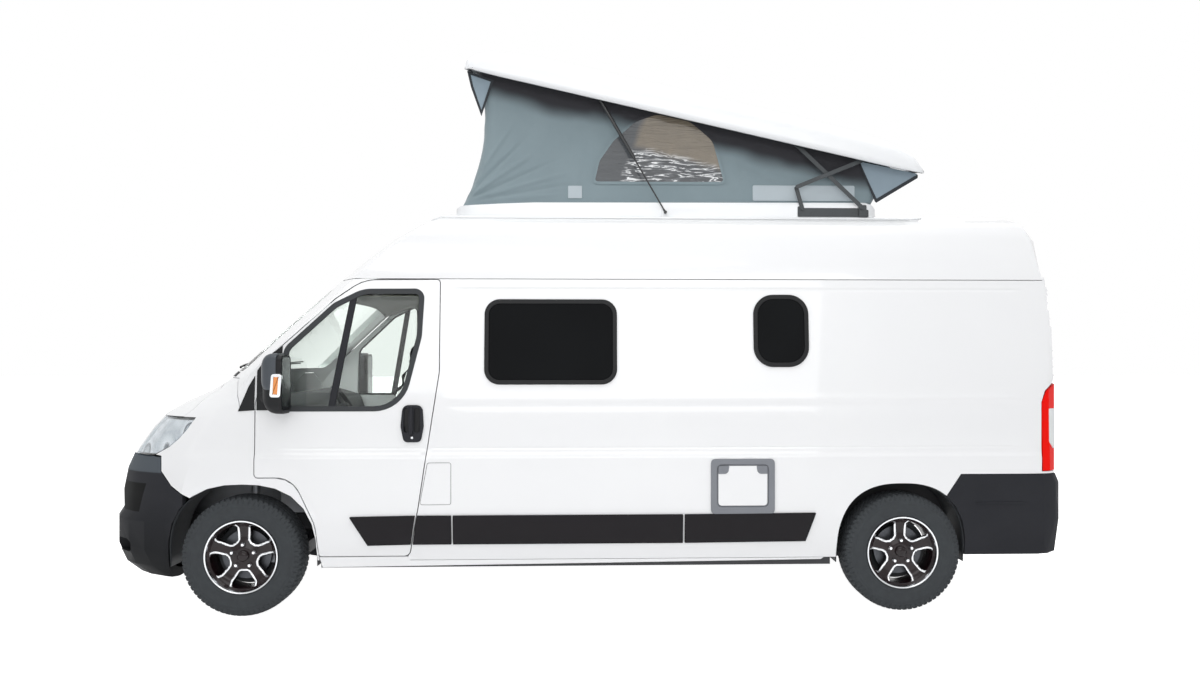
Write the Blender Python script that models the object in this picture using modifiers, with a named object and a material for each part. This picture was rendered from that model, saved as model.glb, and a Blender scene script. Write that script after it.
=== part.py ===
# A camper van: a large high-roof panel van with a pop-up sleeping roof that stands raised at the front.
# Metres, +Z up. The van points along -X, its left side is -Y, and it stands on z = 0.
# The body is one closed outer form less an inner one, and every panel is the wall inside its own shut lines.

import math

import bmesh
import bpy
from mathutils import Matrix, Vector

# Overall sizes
LENGTH = 5.998
WALL = 0.05
FLOOR_Z = 0.560
FLOOR_HALF = 0.915
PANEL_GAP = 0.004
DOOR_GAP = 0.006
REAR_GAP = 0.009
TOUCH = 0.0003

# Wheels and axles
FRONT_AXLE_X = -2.051
REAR_AXLE_X = 1.984
TYRE_RADIUS = 0.364
TYRE_WIDTH = 0.225
TRACK_HALF = 0.905
TYRE_STEPS = 30
KINGPIN_Y = 0.790
SPRING_ENDS = (1.290, 2.680)

# Pop-up roof: the closed shell turns about a far pole as its struts and links let it, and rests raised
ROOF_POLE = (3.396, 2.076)
ROOF_ANGLE = math.radians(12.52)
SHELL_FRONT = -0.922
SHELL_LENGTH = 2.994
SHELL_HALF = 0.845
SHELL_EDGE_Z = 2.451
SHELL_WALL = 0.024
COLLAR_HALF = 0.755
COLLAR_WALL = 0.075
CANVAS_HALF = 0.722
CANVAS_WALL = 0.008

# Centre line of the front, chin to crown: x, z, share of the screen's plan curve, kept on the inner form
FRONT_LINE = (
    (-2.660, 0.215, 0.0, True),
    (-2.860, 0.235, 0.0, False),
    (-2.950, 0.300, 0.0, True),
    (-2.999, 0.400, 0.0, False),
    (-2.999, 0.570, 0.0, False),
    (-2.966, 0.620, 0.0, False),
    (-2.968, 0.730, 0.0, True),
    (-2.940, 0.870, 0.0, True),
    (-2.897, 0.965, 0.0, True),
    (-2.785, 1.123, 0.0, True),
    (-2.700, 1.212, 0.1, True),
    (-2.565, 1.290, 0.3, True),
    (-2.415, 1.357, 0.6, True),
    (-2.315, 1.417, 0.9, True),
    (-2.245, 1.480, 1.0, True),
    (-1.940, 1.755, 1.0, True),
    (-1.606, 2.045, 1.0, True),
    (-1.434, 2.190, 1.0, True),
    (-1.270, 2.315, 1.0, True),
    (-1.110, 2.405, 1.0, True),
    (-0.880, 2.490, 1.0, True),
    (-0.450, 2.560, 1.0, True),
)

# Centre line of the rear, crown to sill: x, z
REAR_LINE = (
    (1.900, 2.560),
    (2.560, 2.500),
    (2.730, 2.455),
    (2.815, 2.400),
    (2.868, 2.300),
    (2.925, 2.055),
    (2.958, 1.780),
    (2.970, 1.450),
    (2.970, 0.856),
    (2.999, 0.790),
    (2.999, 0.560),
    (2.970, 0.360),
    (2.900, 0.335),
)

# How far each lengthwise slice is set back from the centre line: y, nose, screen, tail
PLAN_CURVE = (
    (0.00, 0.000, 0.000, 0.000),
    (0.30, 0.008, 0.010, 0.002),
    (0.60, 0.040, 0.045, 0.006),
    (0.75, 0.110, 0.095, 0.014),
    (0.85, 0.210, 0.150, 0.024),
    (0.93, 0.340, 0.200, 0.040),
    (0.98, 0.470, 0.240, 0.075),
    (1.06, 0.640, 0.310, 0.180),
)

# Half of the cross-section, sill to crown: y, z
SIDE_LINE = (
    (0.965, 0.150),
    (0.982, 0.335),
    (1.004, 0.420),
    (1.017, 0.520),
    (1.025, 0.600),
    (1.025, 0.955),
    (1.014, 0.985),
    (1.012, 1.020),
    (1.004, 1.250),
    (0.944, 2.030),
    (0.942, 2.056),
    (0.906, 2.330),
    (0.888, 2.385),
    (0.855, 2.424),
    (0.800, 2.447),
    (0.600, 2.485),
    (0.300, 2.511),
    (0.000, 2.520),
)

# Shut lines in side view: x, z, corner radius
CAB_DOOR = (
    (-1.966, 0.846, 0.020),
    (-1.966, 1.290, 0.200),
    (-1.900, 1.560, 0.080),
    (-1.500, 1.925, 0.120),
    (-1.330, 2.042, 0.250),
    (-0.867, 2.046, 0.020),
    (-0.867, 1.480, 0.300),
    (-0.990, 0.660, 0.200),
    (-1.045, 0.362, 0.040),
    (-1.586, 0.362, 0.010),
    (-1.605, 0.560, 0.250),
    (-1.740, 0.846, 0.160),
)
CAB_DOOR_WINDOW = (
    (-1.800, 1.262, 0.020),
    (-1.786, 1.618, 0.080),
    (-1.500, 1.885, 0.100),
    (-1.330, 1.970, 0.200),
    (-0.978, 1.972, 0.040),
    (-0.992, 1.700, 0.200),
    (-1.100, 1.262, 0.200),
)
SLIDING_DOOR = (
    (-0.830, 0.400, 0.040),
    (-0.830, 1.985, 0.040),
    (0.480, 1.985, 0.040),
    (0.480, 0.400, 0.040),
)
LARGE_WINDOW = (-0.578, 0.206, 1.418, 1.913, 0.080)
SMALL_WINDOW = (1.077, 1.393, 1.524, 1.944, 0.110)
HATCH_FRAME = (0.793, 1.185, 0.612, 0.949, 0.025)
HATCH_LID = (0.838, 1.139, 0.663, 0.906, 0.020)
FENDER = (
    (-2.700, 0.986, 0.0),
    (-2.556, 0.970, 0.0),
    (-2.548, 0.880, 0.0),
    (-2.475, 0.794, 0.0),
    (-2.390, 0.745, 0.0),
    (-2.300, 0.700, 0.0),
    (-2.000, 0.700, 0.0),
    (-1.700, 0.500, 0.0),
    (-1.640, 0.337, 0.0),
    (-1.590, 0.337, 0.0),
    (-1.610, 0.560, 0.250),
    (-1.742, 0.842, 0.160),
    (-1.970, 0.842, 0.020),
    (-1.970, 1.250, 0.0),
    (-2.060, 1.262, 0.0),
    (-2.100, 1.440, 0.0),
    (-2.245, 1.440, 0.0),
    (-2.420, 1.370, 0.0),
    (-2.700, 1.210, 0.0),
)
BUMPER = (
    (-3.100, 0.150, 0.0),
    (-3.100, 0.960, 0.0),
    (-2.562, 0.960, 0.0),
    (-2.554, 0.878, 0.0),
    (-2.478, 0.788, 0.0),
    (-2.393, 0.739, 0.0),
    (-2.400, 0.150, 0.0),
)
# Grille slots and fog recess seen from the front: low y, high y, low z, high z, corner radius
GRILLE_SLOTS = (
    (-0.560, 0.560, 0.632, 0.664, 0.012),
    (-0.570, 0.570, 0.684, 0.716, 0.012),
    (-0.580, 0.580, 0.736, 0.768, 0.012),
    (-0.500, 0.500, 0.330, 0.372, 0.015),
    (-0.510, 0.510, 0.398, 0.440, 0.015),
)
FOG_RECESS = (0.680, 0.860, 0.370, 0.450, 0.030)
SLOT_DEPTH = 0.030
HEADLAMP = (
    (-3.100, 0.967, 0.0),
    (-2.620, 0.971, 0.0),
    (-2.506, 1.029, 0.0),
    (-2.447, 1.078, 0.0),
    (-2.402, 1.129, 0.0),
    (-2.350, 1.201, 0.0),
    (-3.100, 1.201, 0.0),
)
TAIL_LAMP = (
    (2.856, 0.866, 0.0),
    (2.862, 1.290, 0.0),
    (2.886, 1.360, 0.0),
    (2.990, 1.462, 0.0),
    (3.100, 1.462, 0.0),
    (3.100, 0.866, 0.0),
)
REAR_CLADDING = (
    (2.180, 0.600, 0.0),
    (2.345, 0.846, 0.0),
    (3.100, 0.846, 0.0),
    (3.100, 0.345, 0.0),
    (2.180, 0.345, 0.0),
)

# Openings seen from the front or the rear: y, z, corner radius
WINDSCREEN = ((-0.850, 1.484, 0.03), (0.850, 1.484, 0.03), (0.770, 2.000, 0.06), (-0.770, 2.000, 0.06))
BONNET_FRONT = (
    (-0.640, 0.967, 0.0),
    (0.640, 0.967, 0.0),
    (0.640, 1.207, 0.0),
    (0.950, 1.207, 0.0),
    (0.950, 1.478, 0.0),
    (-0.950, 1.478, 0.0),
    (-0.950, 1.207, 0.0),
    (-0.640, 1.207, 0.0),
)
BONNET_PLAN = ((-3.1, -0.93), (-2.38, -0.885), (-2.247, -0.80), (-2.247, 0.80), (-2.38, 0.885), (-3.1, 0.93))
REAR_OPENING = (
    (-0.868, 0.862, 0.03),
    (0.868, 0.862, 0.03),
    (0.868, 1.500, 0.30),
    (0.806, 2.225, 0.06),
    (-0.806, 2.225, 0.06),
    (-0.868, 1.500, 0.30),
)

# Wheel arches: axle x, half length, height over the axle, exponent of the superellipse
FRONT_ARCH = (-2.045, 0.445, 0.441, 2.5)
REAR_ARCH = (1.976, 0.402, 0.430, 2.5)

# Side view of the collar's top, on which the canvas stands: x, z
COLLAR_LINE = (
    (-0.800, 2.515),
    (-0.770, 2.530),
    (-0.637, 2.537),
    (-0.506, 2.544),
    (-0.296, 2.552),
    (1.818, 2.560),
    (1.876, 2.548),
    (1.905, 2.520),
)

# Roof linkage in side view, raised: x, z
STRUT_TOP = (0.101, 3.231)
STRUT_FOOT = (0.532, 2.490)
LINK_FOOT_REAR = (1.801, 2.522)
LINK_TOP_FRONT = (1.331, 2.965)
LINK_KNEE = (1.373, 2.655)
LINK_TOP_REAR = (1.842, 2.847)
LINK_FOOT_FRONT = (1.413, 2.517)
LINK_PLATE = ((1.385, 2.470), (1.840, 2.470), (1.840, 2.512), (1.800, 2.524), (1.430, 2.524), (1.385, 2.536))
LINK_WIDTH = 0.026
LINK_END = 0.008
LINK_PIN = 0.007
STRUT_Y = 0.787
CYLINDER_LENGTH = 0.470
ROD_OVERLAP = 0.060

# Service hatch, bonnet and door hinges
CAB_HINGE = (-1.958, 1.028)
BONNET_HINGE = (-2.245, 1.484)
REAR_HINGE = (2.992, 0.880)
HATCH_HINGE = (1.036, 0.664)

# Materials: colour as hex, roughness, metallic
MATERIALS = {
    "white_paint": ("E9EBEC", 0.25, 0.0),
    "grey_plastic": ("3A3B40", 0.60, 0.0),
    "black_plastic": ("1E1F22", 0.50, 0.0),
    "white_shell": ("E6E9EB", 0.30, 0.0),
    "glass": ("1B1F24", 0.08, 0.0),
    "acrylic": ("1B1C20", 0.12, 0.0),
    "lamp_clear": ("C9CED3", 0.10, 0.0),
    "lamp_red": ("C4231B", 0.15, 0.0),
    "canvas_grey": ("84949A", 0.85, 0.0),
    "rubber": ("222326", 0.85, 0.0),
    "wheel_black": ("1A1618", 0.25, 0.3),
    "chassis_black": ("202124", 0.55, 0.2),
    "cast_metal": ("6F7276", 0.45, 0.8),
    "bright_metal": ("C4C7CA", 0.25, 0.9),
    "bracket_grey": ("454B4D", 0.50, 0.4),
    "frame_grey": ("8B8D96", 0.45, 0.0),
    "seat_fabric": ("4A4C50", 0.90, 0.0),
}

for leftover in list(bpy.data.objects):
    bpy.data.objects.remove(leftover)
PARTS = bpy.data.collections.new("camper_van")
CUTTERS = bpy.data.collections.new("cutters")
for folder in (PARTS, CUTTERS):
    bpy.context.scene.collection.children.link(folder)


# Small tools

def add_object(name, mesh):
    item = bpy.data.objects.new(name, mesh)
    CUTTERS.objects.link(item)
    item.hide_render = True
    item.display_type = "WIRE"
    return item


def edit(item, work):
    mesh = bmesh.new()
    mesh.from_mesh(item.data)
    work(mesh)
    mesh.to_mesh(item.data)
    mesh.free()
    return item


def face_outwards(mesh):
    bmesh.ops.recalc_face_normals(mesh, faces=mesh.faces)


def bake(item):
    bpy.context.view_layer.update()
    shape = item.evaluated_get(bpy.context.evaluated_depsgraph_get())
    mesh = bpy.data.meshes.new_from_object(shape)
    item.modifiers.clear()
    item.data = mesh
    return item


def combine(operation, item, *others):
    for other in others:
        step = item.modifiers.new(operation.lower(), "BOOLEAN")
        step.operation = operation
        step.object = other
    return bake(item)


def cut(item, *others):
    return combine("DIFFERENCE", item, *others)


def join(item, *others):
    return combine("UNION", item, *others)


def keep_inside(item, *others):
    return combine("INTERSECT", item, *others)


def copy_of(item, name):
    return add_object(name, item.data.copy())


def moved(item, x=0.0, y=0.0, z=0.0):
    item.data.transform(Matrix.Translation((x, y, z)))
    return item


def mirrored(item, name):
    twin = add_object(name, item.data.copy())
    twin.data.transform(Matrix.Scale(-1, 4, (0, 1, 0)))
    return edit(twin, face_outwards)


def box(name, low, high):
    mesh = bmesh.new()
    bmesh.ops.create_cube(mesh, size=1.0)
    size = [b - a for a, b in zip(low, high)]
    centre = [(a + b) / 2 for a, b in zip(low, high)]
    bmesh.ops.scale(mesh, vec=size, verts=mesh.verts)
    bmesh.ops.translate(mesh, vec=centre, verts=mesh.verts)
    data = bpy.data.meshes.new(name)
    mesh.to_mesh(data)
    mesh.free()
    return add_object(name, data)


def span_box(name, side, low, high):
    """A box given for the right side, or mirrored to the left one."""
    (x0, y0, z0), (x1, y1, z1) = low, high
    y0, y1 = sorted((side * y0, side * y1))
    return box(name, (x0, y0, z0), (x1, y1, z1))


def rod(name, start, end, radius, sides=12, end_radius=None):
    start, end = Vector(start), Vector(end)
    mesh = bmesh.new()
    top = radius if end_radius is None else end_radius
    bmesh.ops.create_cone(mesh, cap_ends=True, segments=sides, radius1=radius, radius2=top,
                          depth=(end - start).length)
    turn = (end - start).to_track_quat("Z", "Y").to_matrix().to_4x4()
    bmesh.ops.transform(mesh, matrix=Matrix.Translation((start + end) / 2) @ turn, verts=mesh.verts)
    data = bpy.data.meshes.new(name)
    mesh.to_mesh(data)
    mesh.free()
    return add_object(name, data)


def rounded(outline, steps=3):
    """Replaces each corner that states a radius by an arc of a few steps."""
    points = []
    count = len(outline)
    for i, corner in enumerate(outline):
        here = Vector(corner[:2])
        radius = corner[2] if len(corner) > 2 else 0.0
        before = Vector(outline[i - 1][:2]) - here
        after = Vector(outline[(i + 1) % count][:2]) - here
        angle = before.angle(after)
        if radius <= 0.0 or angle > math.radians(178):
            points.append(here)
            continue
        reach = radius / math.tan(angle / 2)
        reach = min(reach, 0.48 * before.length, 0.48 * after.length)
        radius = reach * math.tan(angle / 2)
        bisector = (before.normalized() + after.normalized()).normalized()
        centre = here + bisector * (radius / math.sin(angle / 2))
        first = here + before.normalized() * reach - centre
        sweep = math.pi - angle
        side = 1.0 if first.x * bisector.y - first.y * bisector.x < 0 else -1.0
        for k in range(steps + 1):
            turn = side * sweep * k / steps
            points.append(centre + Matrix.Rotation(turn, 2) @ first)
    return [(p.x, p.y) for p in points]


def offset(outline, distance):
    """Moves every edge of a closed outline inwards, or outwards when the distance is negative."""
    count = len(outline)
    area = sum(outline[i - 1][0] * outline[i][1] - outline[i][0] * outline[i - 1][1] for i in range(count))
    way = 1.0 if area > 0 else -1.0
    points = []
    for i in range(count):
        here = Vector(outline[i])
        a = (here - Vector(outline[i - 1])).normalized()
        b = (Vector(outline[(i + 1) % count]) - here).normalized()
        normal_a = Vector((-a.y, a.x)) * way
        normal_b = Vector((-b.y, b.x)) * way
        middle = (normal_a + normal_b).normalized()
        points.append(here + middle * (distance / max(0.35, middle.dot(normal_a))))
    return [(p.x, p.y) for p in points]


PLANES = {
    "xy": Matrix.Identity(4),
    "xz": Matrix(((1, 0, 0, 0), (0, 0, -1, 0), (0, 1, 0, 0), (0, 0, 0, 1))),
    "yz": Matrix(((0, 0, 1, 0), (1, 0, 0, 0), (0, 1, 0, 0), (0, 0, 0, 1))),
}


def prism(name, outline, plane, low, high):
    """A flat outline in a plane, extruded along that plane's normal from low to high."""
    curve = bpy.data.curves.new(name, "CURVE")
    curve.dimensions = "2D"
    curve.fill_mode = "BOTH"
    curve.extrude = (high - low) / 2
    line = curve.splines.new("POLY")
    line.points.add(len(outline) - 1)
    for point, (a, b) in zip(line.points, outline):
        point.co = (a, b, 0.0, 1.0)
    line.use_cyclic_u = True
    holder = add_object(name + "_curve", curve)
    bpy.context.view_layer.update()
    mesh = bpy.data.meshes.new_from_object(holder.evaluated_get(bpy.context.evaluated_depsgraph_get()))
    bpy.data.objects.remove(holder)
    item = add_object(name, mesh)
    middle = (low + high) / 2 * (-1 if plane == "xz" else 1)
    item.data.transform(PLANES[plane] @ Matrix.Translation((0, 0, middle)))
    edit(item, lambda m: (bmesh.ops.remove_doubles(m, verts=m.verts, dist=0.00001), face_outwards(m)))
    return item


def loft(name, rings):
    """A closed solid through closed rings that all have the same number of points."""
    count = len(rings[0])
    last = (len(rings) - 1) * count
    faces = [tuple(range(count)), tuple(range(last, last + count))]
    for r in range(len(rings) - 1):
        for i in range(count):
            j = (i + 1) % count
            faces.append((r * count + i, r * count + j, (r + 1) * count + j, (r + 1) * count + i))
    mesh = bpy.data.meshes.new(name)
    mesh.from_pydata([p for ring in rings for p in ring], [], faces)
    item = add_object(name, mesh)

    def close(m):
        face_outwards(m)
        bmesh.ops.triangulate(m, faces=m.faces)

    return edit(item, close)


def turned(name, profile, centre, steps):
    """A closed ring turned about a crosswise axis from a closed profile of radius and offset along +Y."""
    mesh = bpy.data.meshes.new(name)
    points = [(r, 0.0, y) for r, y in profile]
    mesh.from_pydata(points, [(i, (i + 1) % len(points)) for i in range(len(points))], [])
    item = add_object(name, mesh)
    screw = item.modifiers.new("screw", "SCREW")
    screw.steps = screw.render_steps = steps
    screw.use_merge_vertices = True
    screw.merge_threshold = 0.0001
    bake(item)
    item.data.transform(Matrix.Translation(centre) @ Matrix.Rotation(-math.pi / 2, 4, "X"))
    return edit(item, face_outwards)


def largest_body(mesh):
    """Deletes the crumbs that a cut leaves beside the piece itself."""
    groups, seen = [], set()
    for start in mesh.verts:
        if start in seen:
            continue
        group, queue = [], [start]
        seen.add(start)
        while queue:
            vert = queue.pop()
            group.append(vert)
            for edge in vert.link_edges:
                other = edge.other_vert(vert)
                if other not in seen:
                    seen.add(other)
                    queue.append(other)
        groups.append(group)
    groups.sort(key=len)
    for group in groups[:-1]:
        bmesh.ops.delete(mesh, geom=group, context="VERTS")


def clean(mesh):
    bmesh.ops.remove_doubles(mesh, verts=mesh.verts, dist=0.00002)
    bmesh.ops.dissolve_limit(mesh, angle_limit=math.radians(0.3), verts=mesh.verts, edges=mesh.edges,
                             delimit={"NORMAL"})
    bmesh.ops.triangulate(mesh, faces=mesh.faces)


def surface(name):
    if name in bpy.data.materials:
        return bpy.data.materials[name]
    colour, roughness, metallic = MATERIALS[name]
    item = bpy.data.materials.new(name)
    item.use_nodes = True
    shader = item.node_tree.nodes["Principled BSDF"]
    values = [int(colour[i:i + 2], 16) / 255 for i in (0, 2, 4)]
    linear = [v / 12.92 if v <= 0.04045 else ((v + 0.055) / 1.055) ** 2.4 for v in values]
    shader.inputs["Base Color"].default_value = (*linear, 1.0)
    shader.inputs["Roughness"].default_value = roughness
    shader.inputs["Metallic"].default_value = metallic
    return item


def finish(item, name, material, origin=(0.0, 0.0, 0.0), smooth=30.0, tidy=True):
    """Turns a working shape into a shown piece with its name, material and origin."""
    if tidy:
        edit(item, lambda m: (largest_body(m), clean(m)))
    item.data.transform(Matrix.Translation(-Vector(origin)))
    item.location = origin
    item.data.materials.clear()
    item.data.materials.append(surface(material))
    item.data.shade_smooth()
    item.data.set_sharp_from_angle(angle=math.radians(smooth))
    CUTTERS.objects.unlink(item)
    PARTS.objects.link(item)
    item.name = item.data.name = name
    item.hide_render = False
    item.display_type = "TEXTURED"
    return item


def rectangle(low_x, high_x, low_z, high_z, radius=0.0):
    corners = ((low_x, low_z), (high_x, low_z), (high_x, high_z), (low_x, high_z))
    return [(x, z, radius) for x, z in corners]


# Body forms

def plan_value(y, column):
    y = abs(y)
    for low, high in zip(PLAN_CURVE, PLAN_CURVE[1:]):
        if y <= high[0]:
            share = (y - low[0]) / (high[0] - low[0])
            return low[column] + share * (high[column] - low[column])
    return PLAN_CURVE[-1][column]


def slice_outline(y, inner):
    """The side-view outline of the body in the lengthwise slice at this y."""
    nose, screen, tail = (plan_value(y, column) for column in (1, 2, 3))
    points = []
    for x, z, share, kept in FRONT_LINE:
        if kept or not inner:
            points.append((x + nose * (1 - share) + screen * share, z))
    points += [(x - tail, z) for x, z in REAR_LINE]
    return points


def body_form(name, inset):
    stations = [row[0] for row in PLAN_CURVE]
    stations = [-y for y in reversed(stations[1:])] + stations
    rings = []
    for y in stations:
        outline = slice_outline(y, inset > 0)
        if inset:
            outline = offset(outline, inset)
        rings.append([(x, y, z) for x, z in outline])
    form = loft(name, rings)
    half = list(SIDE_LINE)
    section = [(-y, z) for y, z in half] + [(y, z) for y, z in reversed(half[:-1])]
    if inset:
        section = offset(section, inset)
    return keep_inside(form, prism(name + "_section", section, "yz", -3.3, 3.3))


def wall_y(z):
    """Half width of the body's skin at this height."""
    for (low_y, low_z), (high_y, high_z) in zip(SIDE_LINE, SIDE_LINE[1:]):
        if low_z <= z <= high_z:
            return low_y + (z - low_z) / (high_z - low_z) * (high_y - low_y)
    return SIDE_LINE[0][0]


def arch_outline(arch, extra=0.0, low=0.10):
    """Half a superellipse over the axle, closed by straight legs below it."""
    x, half, height, power = arch
    points = []
    for k in range(15):
        angle = math.pi * k / 14
        c, s = math.cos(angle), math.sin(angle)
        reach = (abs(c) ** power + abs(s) ** power) ** (-1 / power)
        points.append((x + (half + extra) * c * reach, TYRE_RADIUS + (height + extra) * s * reach))
    return [(x + half + extra, low)] + points + [(x - half - extra, low)]


def side_prism(name, outline, grow, low=0.60, high=1.20):
    """A cutter for both flanks' shut lines, on the left side, grown by a gap."""
    return prism(name, offset(rounded(outline), -grow), "xz", -high, -low)


outer = body_form("outer_form", 0.0)
inner = body_form("inner_form", WALL)
open_bottom = box("open_bottom", (-2.400, -FLOOR_HALF - 0.010, 0.0), (2.920, FLOOR_HALF + 0.010, FLOOR_Z))
wall = cut(copy_of(outer, "wall"), inner, open_bottom)
arches = [prism("front_arch", arch_outline(FRONT_ARCH), "xz", -1.2, -0.60),
          prism("rear_arch", arch_outline(REAR_ARCH), "xz", -1.2, -0.60)]
arches += [mirrored(arch, arch.name + "_right") for arch in arches]


def wall_piece(name, *regions):
    return keep_inside(copy_of(wall, name), *regions)


def both_sides(item, name, material, origin=(0.0, 0.0, 0.0)):
    """Finishes a left piece and its mirror image on the right."""
    x, y, z = origin
    twin = mirrored(item, name + "_mirror")
    return (finish(item, name + "_left", material, (x, y, z)),
            finish(twin, name + "_right", material, (x, -y, z)))


# Body panels

def make_panels():
    door = side_prism("door_hole", CAB_DOOR, DOOR_GAP)
    rear_hole = prism("rear_hole", offset(rounded(REAR_OPENING), -REAR_GAP), "yz", 2.5, 3.2)
    lamp_hole = prism("tail_lamp_hole", offset(rounded(TAIL_LAMP), -PANEL_GAP), "xz", -1.2, -0.875)
    cladding = prism("cladding_hole", offset(rounded(REAR_CLADDING), -PANEL_GAP), "xz", -1.2, 1.2)
    large = side_prism("large_window_hole", rectangle(*LARGE_WINDOW), 0.0)
    small = side_prism("small_window_hole", rectangle(*SMALL_WINDOW), 0.0)
    hatch = side_prism("hatch_hole", rectangle(*HATCH_FRAME[:4], 0.030), -0.012)
    sliding = side_prism("sliding_hole", SLIDING_DOOR, DOOR_GAP)
    region = prism("side_region", [(-1.30, 0.336), (3.1, 0.336), (3.1, 2.050), (-1.30, 2.050)], "xz", -1.2, -0.80)
    sides = wall_piece("side", region)
    before_door = prism("before_door", [(-1.30, 0.30), (-1.30, 2.10), (-0.95, 2.10), (-0.95, 1.0),
                                        (-1.06, 0.30)], "xz", -1.2, -0.6)
    sides = cut(sides, door, before_door, rear_hole, lamp_hole, cladding, arches[1])
    left = cut(copy_of(sides, "left"), large, small, hatch)
    right = cut(mirrored(sides, "right"), mirrored(sliding, "sliding_hole_right"),
                mirrored(small, "small_window_hole_right"))
    finish(left, "left_side", "white_paint")
    finish(right, "right_side", "white_paint")

    slide = wall_piece("slide", side_prism("slide_region", SLIDING_DOOR, 0.0))
    finish(mirrored(cut(slide, large), "slide_right"), "sliding_door", "white_paint")

    roof_region = box("roof_region", (-1.9, -1.2, 2.054), (3.1, 1.2, 2.70))
    opening = prism("roof_opening", rounded(rectangle(-0.700, 1.800, -0.665, 0.665, 0.08)), "xy", 2.2, 2.7)
    roof = cut(wall_piece("roof", roof_region), opening, rear_hole)
    finish(roof, "high_roof", "white_paint")

    lamps = wall_piece("tail_lamp", prism("tail_lamp_region", rounded(TAIL_LAMP), "xz", -1.2, -0.879))
    both_sides(lamps, "tail_lamp", "lamp_red")

    clad = wall_piece("rear_bumper", prism("cladding_region", rounded(REAR_CLADDING), "xz", -1.2, 1.2))
    finish(cut(clad, arches[1], arches[3]), "rear_bumper", "grey_plastic")


def make_front():
    door = side_prism("door_hole_front", CAB_DOOR, DOOR_GAP)
    screen = prism("screen_region", rounded(WINDSCREEN), "yz", -2.7, -1.2)
    screen_hole = prism("screen_hole", offset(rounded(WINDSCREEN), -PANEL_GAP), "yz", -2.7, -1.2)
    bonnet_front = prism("bonnet_front", rounded(BONNET_FRONT), "yz", -3.1, -2.0)
    bonnet_hole = prism("bonnet_hole", offset(rounded(BONNET_FRONT), -DOOR_GAP), "yz", -3.1, -2.0)
    bonnet_plan = prism("bonnet_plan", BONNET_PLAN, "xy", 0.8, 1.7)
    bonnet_plan_hole = prism("bonnet_plan_hole", offset(BONNET_PLAN, -DOOR_GAP), "xy", 0.8, 1.7)
    keep_inside(bonnet_hole, bonnet_plan_hole)
    lamp = prism("headlamp_region", rounded(HEADLAMP), "xz", -1.2, -0.646)
    lamp_hole = prism("headlamp_hole", offset(rounded(HEADLAMP), -PANEL_GAP), "xz", -1.2, -0.642)
    bumper = prism("bumper_region", rounded(BUMPER), "xz", -1.2, 1.2)
    fender = prism("fender_region", rounded(FENDER), "xz", -1.2, -0.700)
    fender_hole = prism("fender_hole", offset(rounded(FENDER), -PANEL_GAP), "xz", -1.2, -0.694)

    finish(wall_piece("bonnet", bonnet_front, bonnet_plan), "bonnet", "white_paint",
           (BONNET_HINGE[0], 0.0, BONNET_HINGE[1]))
    finish(wall_piece("screen", screen), "windscreen", "glass")
    both_sides(wall_piece("lamp", lamp), "headlamp", "lamp_clear")
    wing = cut(wall_piece("wing", fender), arches[0], bonnet_hole, lamp_hole, door, screen_hole)
    both_sides(wing, "fender", "white_paint")
    back = body_form("slot_back", SLOT_DEPTH)
    slots = [prism("slot", rounded(rectangle(*row)), "yz", -3.1, -2.5) for row in GRILLE_SLOTS]
    slots += [prism("fog", rounded(rectangle(side * FOG_RECESS[0], side * FOG_RECESS[1], *FOG_RECESS[2:])), "yz",
                    -3.1, -2.5) for side in (-1, 1)]
    nose = cut(wall_piece("nose", bumper), arches[0], arches[2], *[cut(slot, back) for slot in slots])
    finish(nose, "front_bumper", "grey_plastic")

    cab_region = box("cab_region", (-2.40, -1.2, 1.20), (-0.88, 1.2, 2.050))
    rest = wall_piece("cab", cab_region)
    rest = cut(rest, door, mirrored(door, "door_hole_r"), screen_hole, bonnet_hole, lamp_hole,
               fender_hole, mirrored(fender_hole, "fender_hole_r"))
    finish(rest, "cab_frame", "white_paint")


# Doors, hatch and glass

def flank_plate(name, outline, outside, inside):
    """A plate on the left flank: its faces stand this far outside and inside the skin."""
    item = prism(name, outline, "xz", -1.0, 1.0)
    for vert in item.data.vertices:
        vert.co.y = -(wall_y(vert.co.z) + (outside if vert.co.y < 0 else -inside))
    return edit(item, face_outwards)


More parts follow.
